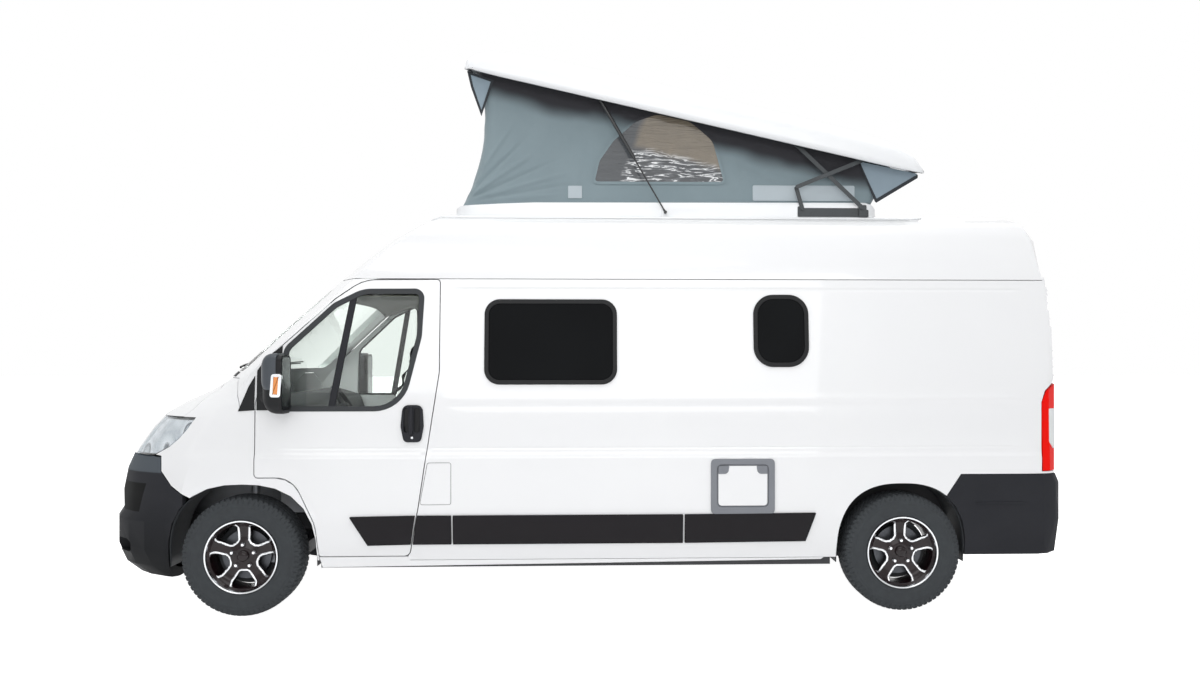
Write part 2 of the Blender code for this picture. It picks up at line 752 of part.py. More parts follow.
def make_doors():
    window = side_prism("door_window", CAB_DOOR_WINDOW, 0.0)
    door = cut(wall_piece("door", side_prism("door_region", CAB_DOOR, 0.0)), window)
    origin = (CAB_HINGE[0], -CAB_HINGE[1], 1.20)
    both_sides(door, "cab_door", "white_paint", origin)
    pane = flank_plate("pane", offset(rounded(CAB_DOOR_WINDOW), TOUCH), 0.000, 0.030)
    both_sides(pane, "door_glass", "glass", origin)
    make_mirrors(origin)

    back = rounded(REAR_OPENING)
    region = prism("rear_door_region", back, "yz", 2.5, 3.2)
    left_half = prism("rear_door_half", [(2.4, -1.2), (3.2, -1.2), (3.2, 0.030), (2.97, -0.004), (2.4, -0.090)],
                      "xy", 0.7, 2.4)
    rear_door = wall_piece("rear_door", region, left_half)
    rear_window = prism("rear_window", rounded(((-0.760, 1.420, 0.05), (-0.110, 1.420, 0.05),
                                                (-0.110, 1.990, 0.05), (-0.740, 1.990, 0.05))),
                        "yz", 2.5, 3.2)
    cut(rear_door, rear_window)
    origin = (REAR_HINGE[0], -REAR_HINGE[1], 0.90)
    both_sides(rear_door, "rear_door", "white_paint", origin)
    glass = wall_piece("rear_pane", prism("rear_pane_region", rounded(
        ((-0.7597, 1.4203, 0.05), (-0.1103, 1.4203, 0.05), (-0.1103, 1.9897, 0.05), (-0.7397, 1.9897, 0.05))),
        "yz", 2.5, 3.2))
    both_sides(glass, "rear_glass", "glass", origin)

    for name, hole, side in (("window_left_front", LARGE_WINDOW, -1), ("window_left_rear", SMALL_WINDOW, -1),
                             ("window_right_front", LARGE_WINDOW, 1), ("window_right_rear", SMALL_WINDOW, 1)):
        outline = rounded(rectangle(*hole))
        plug = flank_plate(name + "_plug", offset(outline, 0.001), 0.004, 0.030)
        flange = flank_plate(name + "_flange", offset(outline, -0.014), 0.010, -TOUCH)
        pane = join(plug, flange)
        if side > 0:
            pane = mirrored(pane, name + "_r")
        finish(pane, name, "acrylic")

    ring = flank_plate("hatch_ring", rounded(rectangle(*HATCH_FRAME)), 0.012, -TOUCH)
    sleeve = flank_plate("hatch_sleeve", offset(rounded(rectangle(*HATCH_FRAME[:4], 0.030)), 0.013), 0.006, 0.045)
    hole = side_prism("hatch_lid_hole", rectangle(*HATCH_LID), 0.009)
    finish(cut(join(ring, sleeve), hole), "hatch_frame", "frame_grey")
    lid = flank_plate("lid", rounded(rectangle(*HATCH_LID)), 0.010, 0.012)
    finish(lid, "service_hatch", "white_paint", (0.989, -HATCH_HINGE[0], HATCH_HINGE[1]))


def make_mirrors(origin):
    """A mirror head on its arm, standing off the door's front corner."""
    base = flank_plate("mirror_base", rounded(((-1.955, 1.300, 0.01), (-1.815, 1.275, 0.01),
                                               (-1.815, 1.470, 0.03), (-1.930, 1.440, 0.01))), 0.030, -TOUCH)
    head = loft("mirror_head", [
        [(-1.845, y, z) for y, z in offset(rounded(rectangle(-1.254, -1.070, 1.235, 1.595, 0.05)), 0.020)],
        [(-1.810, y, z) for y, z in rounded(rectangle(-1.254, -1.070, 1.235, 1.595, 0.05))],
        [(-1.740, y, z) for y, z in rounded(rectangle(-1.254, -1.070, 1.235, 1.595, 0.05))],
    ])
    arms = [rod("mirror_arm", (-1.860, -1.040, z), (-1.790, -1.130, z + 0.01), 0.018, 8) for z in (1.32, 1.40)]
    both_sides(join(base, head, *arms), "mirror", "black_plastic", origin)


# Underbody and running gear

def make_underbody():
    floor = box("floor", (-1.560, -FLOOR_HALF, FLOOR_Z - 0.030), (2.860, FLOOR_HALF, FLOOR_Z))
    parts = [box("toe_board", (-1.600, -0.910, FLOOR_Z - 0.040), (-1.550, 0.910, 1.000))]
    for side in (-1, 1):
        parts.append(span_box("rail", side, (-2.720, 0.410, 0.440), (2.840, 0.470, 0.540)))
        parts.append(span_box("sill", side, (-1.580, 0.870, 0.290), (1.540, 0.972, 0.332)))
        parts.append(span_box("sill_web", side, (-1.560, 0.870, 0.320), (1.540, 0.910, 0.540)))
        for x in SPRING_ENDS:
            parts.append(span_box("hanger", side, (x - 0.030, 0.400, 0.313), (x + 0.030, 0.590, 0.475)))
    for x in (-2.700, -1.480, -0.400, 0.700, 1.270, 2.660):
        parts.append(box("cross_member", (x, -0.440, 0.455), (x + 0.040, 0.440, 0.545)))
    for x in (-1.470, -0.390, 0.710):
        parts.append(box("outrigger", (x, -0.890, 0.465), (x + 0.020, 0.890, 0.548)))
    body = join(floor, *parts)
    well = prism("well", arch_outline(REAR_ARCH, 0.03), "xz", -FLOOR_HALF, -0.700)
    well = cut(well, box("well_trim", (1.0, -1.2, 0.0), (2.9, 1.2, FLOOR_Z - 0.030)))
    hollow = prism("well_hollow", arch_outline(REAR_ARCH, 0.02, 0.05), "xz", -1.0, -0.710)
    body = cut(join(body, well, mirrored(well, "well_right")), hollow, mirrored(hollow, "well_hollow_right"))
    finish(body, "underbody", "chassis_black", smooth=20.0)


def make_axles():
    frame = box("frame", (-2.350, -0.400, 0.240), (-1.850, 0.400, 0.320))
    arms = []
    for side in (-1, 1):
        arms.append(rod("arm", (-2.250, side * 0.380, 0.280), (FRONT_AXLE_X, side * 0.700, 0.250), 0.022, 8))
        arms.append(rod("arm", (-1.900, side * 0.380, 0.280), (FRONT_AXLE_X, side * 0.700, 0.250), 0.022, 8))
    finish(join(frame, *arms), "front_subframe", "chassis_black")

    beam = rod("beam", (REAR_AXLE_X, -0.760, TYRE_RADIUS), (REAR_AXLE_X, 0.760, TYRE_RADIUS), 0.040, 12)
    bits = []
    for side in (-1, 1):
        bits.append(prism("leaf", [(1.250, 0.300), (1.600, 0.262), (2.300, 0.262), (2.720, 0.300),
                                   (2.720, 0.312), (2.300, 0.290), (1.600, 0.290), (1.250, 0.312)],
                          "xz", *sorted((side * 0.520, side * 0.590))))
        bits.append(span_box("pad", side, (1.920, 0.515, 0.285), (2.050, 0.595, 0.345)))
        bits.append(rod("hub", (REAR_AXLE_X, side * 0.740, TYRE_RADIUS),
                        (REAR_AXLE_X, side * 0.838, TYRE_RADIUS), 0.060, 16))
    finish(join(beam, *bits), "rear_axle", "chassis_black")

    origin = (FRONT_AXLE_X, -KINGPIN_Y, TYRE_RADIUS)
    x, z = FRONT_AXLE_X, TYRE_RADIUS
    upright = box("upright", (x - 0.045, -0.790, 0.250), (x + 0.045, -0.730, 0.520))
    hub = rod("hub", (x, -0.780, z), (x, -0.838, z), 0.060, 16)
    leg = rod("leg", (x, -0.760, 0.500), (x, -0.720, 0.780), 0.028, 12)
    caliper = box("caliper", (x + 0.085, -0.870, z - 0.060), (x + 0.160, -0.790, z + 0.070))
    bridge = box("bridge", (x + 0.030, -0.788, z - 0.040), (x + 0.150, -0.770, z + 0.040))
    bridge_end = box("bridge_end", (x + 0.110, -0.800, z - 0.040), (x + 0.150, -0.770, z + 0.040))
    both_sides(join(upright, hub, leg, bridge, bridge_end, caliper), "knuckle", "cast_metal", origin)


# Half sections of a tyre and of a rim with its hub: radius, distance inwards from the wheel's middle
TYRE_SECTION = (
    (0.212, -0.085),
    (0.232, -0.104),
    (0.290, -0.1125),
    (0.338, -0.106),
    (0.356, -0.090),
    (0.364, -0.070),
    (0.364, 0.070),
    (0.356, 0.090),
    (0.338, 0.106),
    (0.290, 0.1125),
    (0.232, 0.104),
    (0.212, 0.085),
)
RIM_SECTION = (
    (0.2115, -0.106),
    (0.200, -0.106),
    (0.192, -0.082),
    (0.060, -0.066),
    (0.034, -0.078),
    (0.012, -0.078),
    (0.012, 0.062),
    (0.078, 0.062),
    (0.078, 0.046),
    (0.060, 0.044),
    (0.060, -0.046),
    (0.188, -0.060),
    (0.192, 0.090),
    (0.2115, 0.106),
)

# One of the five windows of a wheel, pointing outwards from the hub: along, across
WHEEL_WINDOW = (
    (0.090, -0.016),
    (0.100, -0.030),
    (0.155, -0.072),
    (0.167, -0.062),
    (0.178, 0.000),
    (0.167, 0.062),
    (0.155, 0.072),
    (0.100, 0.030),
    (0.090, 0.016),
)


def make_wheels():
    """Turned tyres, and rims with five windows between five spokes. A flat of the ring stands on the ground."""
    grow = 1 / math.cos(math.pi / TYRE_STEPS)
    for end, x in (("front", FRONT_AXLE_X), ("rear", REAR_AXLE_X)):
        for side_name, side in (("left", -1), ("right", 1)):
            centre = (x, side * TRACK_HALF, TYRE_RADIUS)
            ring = turned("tyre", [(r * grow, y * -side) for r, y in TYRE_SECTION], centre, TYRE_STEPS)
            finish(ring, "tyre_%s_%s" % (end, side_name), "rubber", centre, tidy=False)
            wheel = turned("rim", [(r * grow, y * -side) for r, y in RIM_SECTION], centre, TYRE_STEPS)
            windows = []
            for k in range(5):
                low, high = sorted((side * 0.030, side * 0.150))
                window = prism("window", WHEEL_WINDOW, "xz", low, high)
                spin = Matrix.Rotation(math.radians(90 + 72 * k), 4, "Y")
                window.data.transform(Matrix.Translation(centre) @ spin)
                windows.append(window)
            finish(cut(wheel, *windows), "wheel_%s_%s" % (end, side_name), "wheel_black", centre)


def make_cab():
    engine = box("engine", (-2.560, -0.380, 0.430), (-2.000, 0.380, 0.950))
    finish(engine, "engine", "cast_metal")

    dash = prism("dash", rounded(((-2.020, 1.060, 0.03), (-1.760, 1.000, 0.05), (-1.700, 1.100, 0.05),
                                  (-1.760, 1.270, 0.05), (-1.960, 1.330, 0.05), (-2.060, 1.300, 0.03))),
                 "xz", -0.900, 0.900)
    column = rod("column", (-1.800, -0.420, 1.080), (-1.560, -0.420, 1.200), 0.030, 12)
    wheel = turned("steering_wheel", [(0.185 + 0.014 * math.cos(a), 0.014 * math.sin(a))
                                      for a in [math.tau * k / 8 for k in range(8)]], (0, 0, 0), 28)
    tilt = Vector((0.240, 0, 0.120)).to_track_quat("Y", "Z").to_matrix().to_4x4()
    wheel.data.transform(Matrix.Translation((-1.560, -0.420, 1.200)) @ tilt)
    spokes = [rod("spoke", Vector((-1.560, -0.420, 1.200)) + tilt.to_3x3() @ Vector(a),
                  Vector((-1.560, -0.420, 1.200)) + tilt.to_3x3() @ Vector(b), 0.016, 8)
              for a, b in (((-0.18, 0, 0), (0.18, 0, 0)), ((0, 0, 0), (0, 0, -0.18)), ((0, 0, 0), (0, 0, 0.18)))]
    finish(join(dash, column, wheel, *spokes), "dashboard", "black_plastic")

    plinth = box("plinth", (-1.420, -0.780, FLOOR_Z + TOUCH), (-0.980, 0.780, 0.700))
    parts = []
    for y in (-0.44, 0.44):
        cushion = prism("cushion", rounded(((-1.480, 0.840, 0.04), (-0.980, 0.800, 0.04), (-0.960, 0.940, 0.04),
                                            (-1.480, 0.970, 0.05))), "xz", y - 0.255, y + 0.255)
        back = prism("backrest", rounded(((-1.050, 0.860, 0.03), (-0.930, 0.860, 0.04), (-0.800, 1.520, 0.05),
                                          (-0.910, 1.540, 0.05))), "xz", y - 0.250, y + 0.250)
        rest = prism("headrest", rounded(((-0.880, 1.510, 0.02), (-0.810, 1.500, 0.02), (-0.775, 1.720, 0.04),
                                          (-0.865, 1.730, 0.04))), "xz", y - 0.130, y + 0.130)
        stand = box("stand", (-1.380, y - 0.200, 0.690), (-1.020, y + 0.200, 0.880))
        parts += [cushion, back, rest, stand]
    finish(join(plinth, *parts), "cab_seats", "seat_fabric")


# Pop-up roof

def lift(item):
    """Turns a shape from the closed roof's place to the raised one."""
    pole = Vector((ROOF_POLE[0], 0.0, ROOF_POLE[1]))
    turn = Matrix.Translation(pole) @ Matrix.Rotation(ROOF_ANGLE, 4, "Y") @ Matrix.Translation(-pole)
    item.data.transform(turn)
    return item


def shell_ring(s, inset, height, narrow):
    """One section of the closed shell: a flat foot, upright sides, round shoulders and a low crown."""
    half = SHELL_HALF - narrow - inset
    top = max(0.02, height - inset)
    points = [(-half, -0.30 if inset else 0.0), (-half, 0.45 * top), (-half + 0.018, 0.80 * top),
              (-half + 0.075, 0.96 * top), (-0.45, top + 0.018), (-0.15, top + 0.032)]
    full = points + [(-y, z) for y, z in reversed(points)]
    return [(SHELL_FRONT + s, y, SHELL_EDGE_Z + z) for y, z in full]


# Shell height over its lower edge: distance from the front, height, how much narrower
SHELL_LINE = (
    (0.000, 0.085, 0.060),
    (0.070, 0.140, 0.020),
    (0.360, 0.185, 0.000),
    (0.700, 0.196, 0.000),
    (1.800, 0.196, 0.000),
    (2.480, 0.188, 0.000),
    (2.720, 0.170, 0.004),
    (2.915, 0.112, 0.020),
    (2.994, 0.045, 0.050),
)


def make_pop_roof():
    high = moved(copy_of(outer, "raised_skin"), z=0.010)
    skin = moved(copy_of(outer, "skin"), z=TOUCH)
    flange = prism("flange", rounded(rectangle(-0.960, 2.210, -0.800, 0.800, 0.12)), "xy", 2.3, 2.7)
    flange = keep_inside(flange, high)
    front, rear = COLLAR_LINE[0][0], COLLAR_LINE[-1][0]
    collar = prism("collar", [(front, 2.35)] + list(COLLAR_LINE) + [(rear, 2.35)], "xz", -COLLAR_HALF, COLLAR_HALF)
    keep_inside(collar, prism("collar_plan", rounded(rectangle(front - 0.01, rear + 0.01, -COLLAR_HALF - 0.001,
                                                               COLLAR_HALF + 0.001, 0.12)), "xy", 2.2, 2.8))
    inside = prism("collar_inside", rounded(rectangle(front + COLLAR_WALL, rear - COLLAR_WALL,
                                                      -COLLAR_HALF + COLLAR_WALL, COLLAR_HALF - COLLAR_WALL,
                                                      0.06)), "xy", 2.2, 2.8)
    parts = []
    for side in (-1, 1):
        for (x, z), low, reach in ((LINK_FOOT_REAR, 2.470, 0.771), (LINK_FOOT_FRONT, 2.470, 0.759),
                                   (STRUT_FOOT, 2.455, 0.774)):
            y = sorted((side * 0.740, side * reach))
            parts.append(box("foot", (x - 0.022, y[0], low), (x + 0.022, y[1], z + 0.020)))
        parts.append(prism("foot_plate", LINK_PLATE, "xz", *sorted((side * 0.745, side * 0.758))))
    rim = cut(join(flange, collar, *parts), skin, inside)
    finish(rim, "roof_collar", "white_shell")

    outside = loft("shell_outside", [shell_ring(s, 0.0, h, n) for s, h, n in SHELL_LINE])
    rows = [(min(max(s, SHELL_WALL), SHELL_LENGTH - SHELL_WALL), h, n) for s, h, n in SHELL_LINE]
    inside = loft("shell_inside", [shell_ring(s, SHELL_WALL, h, n) for s, h, n in rows])
    clear = moved(copy_of(outer, "clear_skin"), z=0.028)
    shell = lift(cut(outside, inside, clear))
    ears = []
    for side in (-1, 1):
        for (x, z), reach in ((LINK_TOP_REAR, 0.791), (STRUT_TOP, 0.800)):
            ears.append(span_box("ear", side, (x - 0.016, reach, z - 0.016), (x + 0.016, 0.832, z + 0.016)))
        x, z = LINK_TOP_FRONT
        ears.append(rod("pin", (x, side * 0.779, z), (x, side * 0.832, z), LINK_PIN))
    finish(join(shell, *ears), "roof_shell", "white_shell", (ROOF_POLE[0], 0.0, ROOF_POLE[1]))
    make_canvas()
    make_struts()
    make_links()


def raised_point(s, height):
    """A point of the closed shell's side view, given along its edge and above it, taken to the raised roof."""
    dx = SHELL_FRONT + s - ROOF_POLE[0]
    dz = SHELL_EDGE_Z + height - ROOF_POLE[1]
    c, n = math.cos(ROOF_ANGLE), math.sin(ROOF_ANGLE)
    return ROOF_POLE[0] + dx * c + dz * n, ROOF_POLE[1] - dx * n + dz * c


def make_canvas():
    """The tent wall: a wedge-shaped tube between the collar and the raised shell."""
    foot = [(x, z + TOUCH) for x, z in COLLAR_LINE[1:-1]]
    front_mid, front_high = (-0.635, 3.060), raised_point(0.090, 0.035)
    rear_high = raised_point(2.900, 0.030)
    outline = foot + [(rear_high[0], rear_high[1]), front_high, front_mid]
    outside = prism("canvas_outside", outline, "xz", -CANVAS_HALF, CANVAS_HALF)
    t = CANVAS_WALL
    hollow = [(foot[0][0] + t, 2.4), (foot[-1][0] - t, 2.4), (foot[-1][0] - t, foot[-1][1]),
              (rear_high[0] - t, rear_high[1]), (rear_high[0] - t, 3.7), (front_high[0] + t, 3.7),
              (front_high[0] + t, front_high[1]), (front_mid[0] + t, front_mid[1]), (foot[0][0] + t, foot[0][1])]
    inside = prism("canvas_inside", hollow, "xz", -CANVAS_HALF + t, CANVAS_HALF - t)
    finish(cut(outside, inside), "canvas", "canvas_grey")


def make_struts():
    top = Vector((STRUT_TOP[0], -STRUT_Y, STRUT_TOP[1]))
    foot = Vector((STRUT_FOOT[0], -STRUT_Y, STRUT_FOOT[1]))
    way = (foot - top).normalized()
    barrel = rod("barrel", top, top + way * CYLINDER_LENGTH, 0.011, 12)
    bore = rod("bore", top + way * 0.030, top + way * (CYLINDER_LENGTH + 0.01), 0.0055, 12)
    both_sides(cut(barrel, bore), "strut_cylinder", "black_plastic", top)
    shaft = rod("shaft", top + way * (CYLINDER_LENGTH - ROD_OVERLAP), foot, 0.005, 12)
    both_sides(shaft, "strut_rod", "bright_metal", top)


def make_links():
    """Flat bars that carry the raised rear of the shell, each in its own plane."""
    bars = (
        ("roof_link_long", LINK_FOOT_REAR, LINK_TOP_FRONT, 0.772, LINK_FOOT_REAR),
        ("roof_link_upper", LINK_TOP_REAR, LINK_KNEE, 0.784, LINK_TOP_REAR),
        ("roof_link_short", LINK_FOOT_FRONT, LINK_KNEE, 0.760, LINK_FOOT_FRONT),
    )
    for name, start, end, y, pivot in bars:
        a, b = Vector((start[0], start[1])), Vector((end[0], end[1]))
        along = (b - a).normalized()
        across = Vector((-along.y, along.x)) * LINK_WIDTH / 2
        outline = [tuple(a - along * LINK_END - across) + (0.012,), tuple(b + along * LINK_END - across) + (0.012,),
                   tuple(b + along * LINK_END + across) + (0.012,), tuple(a - along * LINK_END + across) + (0.012,)]
        bar = prism("bar", rounded(outline), "xz", -(y + 0.006), -y)
        both_sides(bar, name, "bracket_grey", (pivot[0], -y, pivot[1]))


make_panels()
make_front()
make_doors()
make_underbody()
make_axles()
make_wheels()
make_cab()
make_pop_roof()
for cutter in list(CUTTERS.objects):
    bpy.data.objects.remove(cutter)
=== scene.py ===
# A camper van with its pop-up roof raised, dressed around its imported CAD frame
# Metres, +Z up. The van points along -X and its left side is -Y

import math

import bpy
import bmesh
import numpy as np
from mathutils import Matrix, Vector
from mathutils.geometry import delaunay_2d_cdt


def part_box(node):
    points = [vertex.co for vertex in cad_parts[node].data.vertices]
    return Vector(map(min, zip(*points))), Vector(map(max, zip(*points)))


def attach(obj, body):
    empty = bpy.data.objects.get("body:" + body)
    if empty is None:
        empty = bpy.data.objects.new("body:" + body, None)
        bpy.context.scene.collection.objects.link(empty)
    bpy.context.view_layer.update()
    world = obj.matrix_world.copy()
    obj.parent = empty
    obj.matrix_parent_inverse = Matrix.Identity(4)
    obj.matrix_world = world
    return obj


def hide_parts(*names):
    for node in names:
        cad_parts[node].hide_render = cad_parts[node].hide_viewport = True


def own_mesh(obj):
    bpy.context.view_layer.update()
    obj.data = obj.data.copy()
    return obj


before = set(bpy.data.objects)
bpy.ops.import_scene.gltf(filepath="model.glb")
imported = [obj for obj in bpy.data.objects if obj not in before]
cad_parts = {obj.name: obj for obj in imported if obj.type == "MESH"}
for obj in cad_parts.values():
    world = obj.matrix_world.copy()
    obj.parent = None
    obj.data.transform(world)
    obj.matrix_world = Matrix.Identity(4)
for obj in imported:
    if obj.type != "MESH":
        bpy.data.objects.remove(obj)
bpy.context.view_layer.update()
print("frame loaded:", len(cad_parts), "nodes")


# Camera at the photograph's place, a little over a metre and a half up, seven metres off

view = {"place": (0.035, -7.1745, 1.6), "yaw": 2.05, "lens": 30.27, "shiftX": -0.0192, "shiftY": 0.002}
lens = bpy.data.cameras.new("camera")
lens.lens, lens.sensor_width = view["lens"], 36.0
lens.shift_x, lens.shift_y = view["shiftX"], view["shiftY"]
camera = bpy.data.objects.new("camera", lens)
camera.location = view["place"]
camera.rotation_euler = (math.radians(90), 0.0, -math.radians(view["yaw"]))
bpy.context.scene.collection.objects.link(camera)
bpy.context.scene.camera = camera


# Small tools for meshes

def easeCurve(xs, ys, x):
    # A monotone cubic through a table: each knot's slope is the harmonic mean of its two neighbours'
    xs, ys, x = (np.asarray(v, float) for v in (xs, ys, x))
    step = np.diff(xs)
    slope = np.diff(ys) / step
    bend = np.concatenate([slope[:1], np.zeros(len(xs) - 2), slope[-1:]])
    same = slope[:-1] * slope[1:] > 0
    a, b = 2 * step[1:] + step[:-1], step[1:] + 2 * step[:-1]
    bend[1:-1][same] = (a + b)[same] / (a[same] / slope[:-1][same] + b[same] / slope[1:][same])
    i = np.clip(np.searchsorted(xs, x) - 1, 0, len(xs) - 2)
    t = np.clip((x - xs[i]) / step[i], 0, 1)
    return (ys[i] * (1 + 2 * t) * (1 - t) ** 2 + bend[i] * step[i] * t * (1 - t) ** 2
            + ys[i + 1] * t * t * (3 - 2 * t) + bend[i + 1] * step[i] * t * t * (t - 1))


def curveAt(table, x, column=1):
    # The curve through a table's first column and one of the others
    return easeCurve(table[:, 0], table[:, column], x)


def softMin(a, b, blend=0.02):
    # The smaller of two, rounded where they meet: half of their sum less the root of gap squared plus blend squared
    return 0.5 * (a + b - np.sqrt((a - b) ** 2 + blend ** 2))


def smoothStep(low, high, x):
    # 0 below low, 1 above high, and 3t^2 - 2t^3 between
    t = np.clip((np.asarray(x, float) - low) / (high - low), 0, 1)
    return t * t * (3 - 2 * t)


def roundedLine(corners, steps=8):
    # A closed outline whose corners that state a radius become arcs of that radius
    points = []
    for i, corner in enumerate(corners):
        here = np.array(corner[:2], float)
        radius = corner[2] if len(corner) > 2 else 0.0
        back = np.array(corners[i - 1][:2], float) - here
        ahead = np.array(corners[(i + 1) % len(corners)][:2], float) - here
        lengths = np.linalg.norm(back), np.linalg.norm(ahead)
        back, ahead = back / lengths[0], ahead / lengths[1]
        angle = math.acos(float(np.clip(back @ ahead, -1, 1)))
        if radius <= 0 or angle > math.radians(177):
            points.append(here[None])
            continue
        reach = min(radius / math.tan(angle / 2), 0.48 * lengths[0], 0.48 * lengths[1])
        radius = reach * math.tan(angle / 2)
        middle = (back + ahead) / np.linalg.norm(back + ahead)
        centre = here + middle * radius / math.sin(angle / 2)
        first, last = here + back * reach - centre, here + ahead * reach - centre
        share = np.linspace(0, 1, steps + 1)[:, None]
        sweep = math.pi - angle
        arc = (np.sin((1 - share) * sweep) * first + np.sin(share * sweep) * last) / math.sin(sweep)
        points.append(centre + arc)
    return np.concatenate(points)


def rectangle(x0, x1, z0, z1, radius=0.0, steps=8):
    return roundedLine([(x, z, radius) for x, z in ((x0, z0), (x1, z0), (x1, z1), (x0, z1))], steps)


def densify(line, step):
    # Adds points so that no side of a closed outline is longer than step
    ahead = np.roll(line, -1, axis=0)
    counts = np.maximum(1, np.ceil(np.linalg.norm(ahead - line, axis=1) / step)).astype(int)
    return np.concatenate([a + (b - a) * (np.arange(n) / n)[:, None] for a, b, n in zip(line, ahead, counts)])


def offsetLine(line, distance):
    # Moves every side of a closed outline outwards by distance, along the mean of its neighbours' normals
    area = np.sum(line[:, 0] * np.roll(line[:, 1], -1) - np.roll(line[:, 0], -1) * line[:, 1])
    ahead = np.roll(line, -1, axis=0) - line
    ahead /= np.maximum(np.linalg.norm(ahead, axis=1), 1e-9)[:, None]
    normal = np.stack([ahead[:, 1], -ahead[:, 0]], 1) * np.sign(area)
    before = np.roll(normal, 1, axis=0)
    middle = normal + before
    middle /= np.maximum(np.linalg.norm(middle, axis=1), 1e-9)[:, None]
    return line + middle * (distance / np.maximum(0.4, np.sum(middle * normal, 1)))[:, None]


def turnLeft(line):
    # The outline in the counter-clockwise order that the triangulation asks for
    line = np.asarray(line, float)
    area = np.sum(line[:, 0] * np.roll(line[:, 1], -1) - np.roll(line[:, 0], -1) * line[:, 1])
    return line if area > 0 else line[::-1]


def gridFaces(rows, columns, closeRows=False, closeColumns=False):
    # The quads of a grid of points, joined round in either direction if asked
    r = np.arange(rows if closeRows else rows - 1)
    c = np.arange(columns if closeColumns else columns - 1)
    r, c = np.meshgrid(r, c, indexing="ij")
    r2, c2 = (r + 1) % rows, (c + 1) % columns
    quads = np.stack([r * columns + c, r2 * columns + c, r2 * columns + c2, r * columns + c2], -1)
    return quads.reshape(-1, 4)


def makeMesh(name, points, faces):
    mesh = bpy.data.meshes.new(name)
    mesh.from_pydata(np.asarray(points, float).reshape(-1, 3).tolist(), [], np.asarray(faces).tolist()
                     if isinstance(faces, np.ndarray) else faces)
    mesh.update()
    return mesh


def movePoints(mesh, change):
    flat = np.empty(len(mesh.vertices) * 3)
    mesh.vertices.foreach_get("co", flat)
    mesh.vertices.foreach_set("co", change(flat.reshape(-1, 3)).ravel())


def finishPiece(name, mesh, material, body, slot=None, sharp=35.0, weld=1e-5, face=False, replaced=()):
    # Puts a mesh into the scene as a piece that rides on a body and stands for the CAD nodes named
    if weld or face:
        work = bmesh.new()
        work.from_mesh(mesh)
        if weld:
            bmesh.ops.remove_doubles(work, verts=work.verts, dist=weld)
            bmesh.ops.dissolve_degenerate(work, dist=weld / 2, edges=work.edges)
        if face:
            bmesh.ops.recalc_face_normals(work, faces=work.faces)
        work.to_mesh(mesh)
        work.free()
    piece = bpy.data.objects.new(name, mesh)
    bpy.context.scene.collection.objects.link(piece)
    mesh.materials.append(material)
    mesh.shade_smooth()
    mesh.set_sharp_from_angle(angle=math.radians(sharp))
    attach(piece, body)
    if replaced:
        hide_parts(*replaced)
    return piece


def addWall(piece, thickness, offset=-1.0, even=True):
    wall = piece.modifiers.new("wall", "SOLIDIFY")
    wall.thickness, wall.offset, wall.use_even_offset = thickness, offset, even
    return piece


def addBevel(piece, width, segments=2, angle=40.0):
    edge = piece.modifiers.new("edge", "BEVEL")
    edge.width, edge.segments, edge.limit_method = width, segments, "ANGLE"
    edge.angle_limit, edge.harden_normals = math.radians(angle), True
    return piece


def solidPiece(name, shape, material, body, bevel=0.0, **more):
    # A closed shape as a piece, with its faces turned outwards and its edges softened if a width is given
    piece = finishPiece(name, makeMesh(name, *shape), material, body, face=True, **more)
    return addBevel(piece, bevel) if bevel else piece


def dressCopy(node, name, material, body, bevel):
    # A copy of a CAD node's solid, welded, with its flat regions dissolved and its edges softened
    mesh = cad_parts[node].data.copy()
    mesh.materials.clear()
    work = bmesh.new()
    work.from_mesh(mesh)
    bmesh.ops.remove_doubles(work, verts=work.verts, dist=2e-5)
    bmesh.ops.dissolve_limit(work, angle_limit=math.radians(0.8), verts=work.verts, edges=work.edges)
    work.to_mesh(mesh)
    work.free()
    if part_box(node)[1][0] > tailCorner["squared"]:
        movePoints(mesh, squareTail)
    piece = finishPiece(name, mesh, material, body, weld=0, replaced=[node])
    return addBevel(piece, bevel) if bevel else piece


def flatPanel(name, kept, holes, place, step, rows=(), columns=(), flip=False):
    # Fills the area inside the kept outlines and outside the holes with triangles, over a lattice of points,
    # and place turns each flat point (a, b) into a point of the surface
    kept = [densify(turnLeft(line), step) for line in kept]
    holes = [densify(turnLeft(line), step) for line in holes]
    lines = kept + holes
    low, high = np.min(np.concatenate(kept), 0), np.max(np.concatenate(kept), 0)
    a = np.asarray(columns) if len(columns) else np.linspace(low[0], high[0], 2 + int((high[0] - low[0]) / step))
    b = np.asarray(rows) if len(rows) else np.linspace(low[1], high[1], 2 + int((high[1] - low[1]) / step))
    lattice = np.stack(np.meshgrid(a, b, indexing="ij"), -1).reshape(-1, 2)
    border = np.concatenate(lines)
    near = np.full(len(lattice), np.inf)
    for part in np.array_split(border, max(1, len(border) // 400)):
        near = np.minimum(near, np.min(np.linalg.norm(lattice[:, None] - part[None], axis=2), axis=1))
    inner = lattice[near > 0.3 * step]
    starts = np.cumsum([0] + [len(line) for line in lines])
    rings = [list(range(starts[i], starts[i + 1])) for i in range(len(lines))]
    points, _, faces, _, _, origins = delaunay_2d_cdt(
        [Vector(p) for p in np.concatenate([border, inner]).tolist()], [], rings, 0, 1e-6, True)
    count = len(kept)
    used = [f for f, o in zip(faces, origins) if any(i < count for i in o) and not any(i >= count for i in o)]
    flat = np.array([tuple(p) for p in points])
    index = np.array(used)
    seen, index = np.unique(index, return_inverse=True)
    mesh = makeMesh(name, place(flat[seen]), index.reshape(-1, 3))
    if flip:
        mesh.flip_normals()
    return mesh


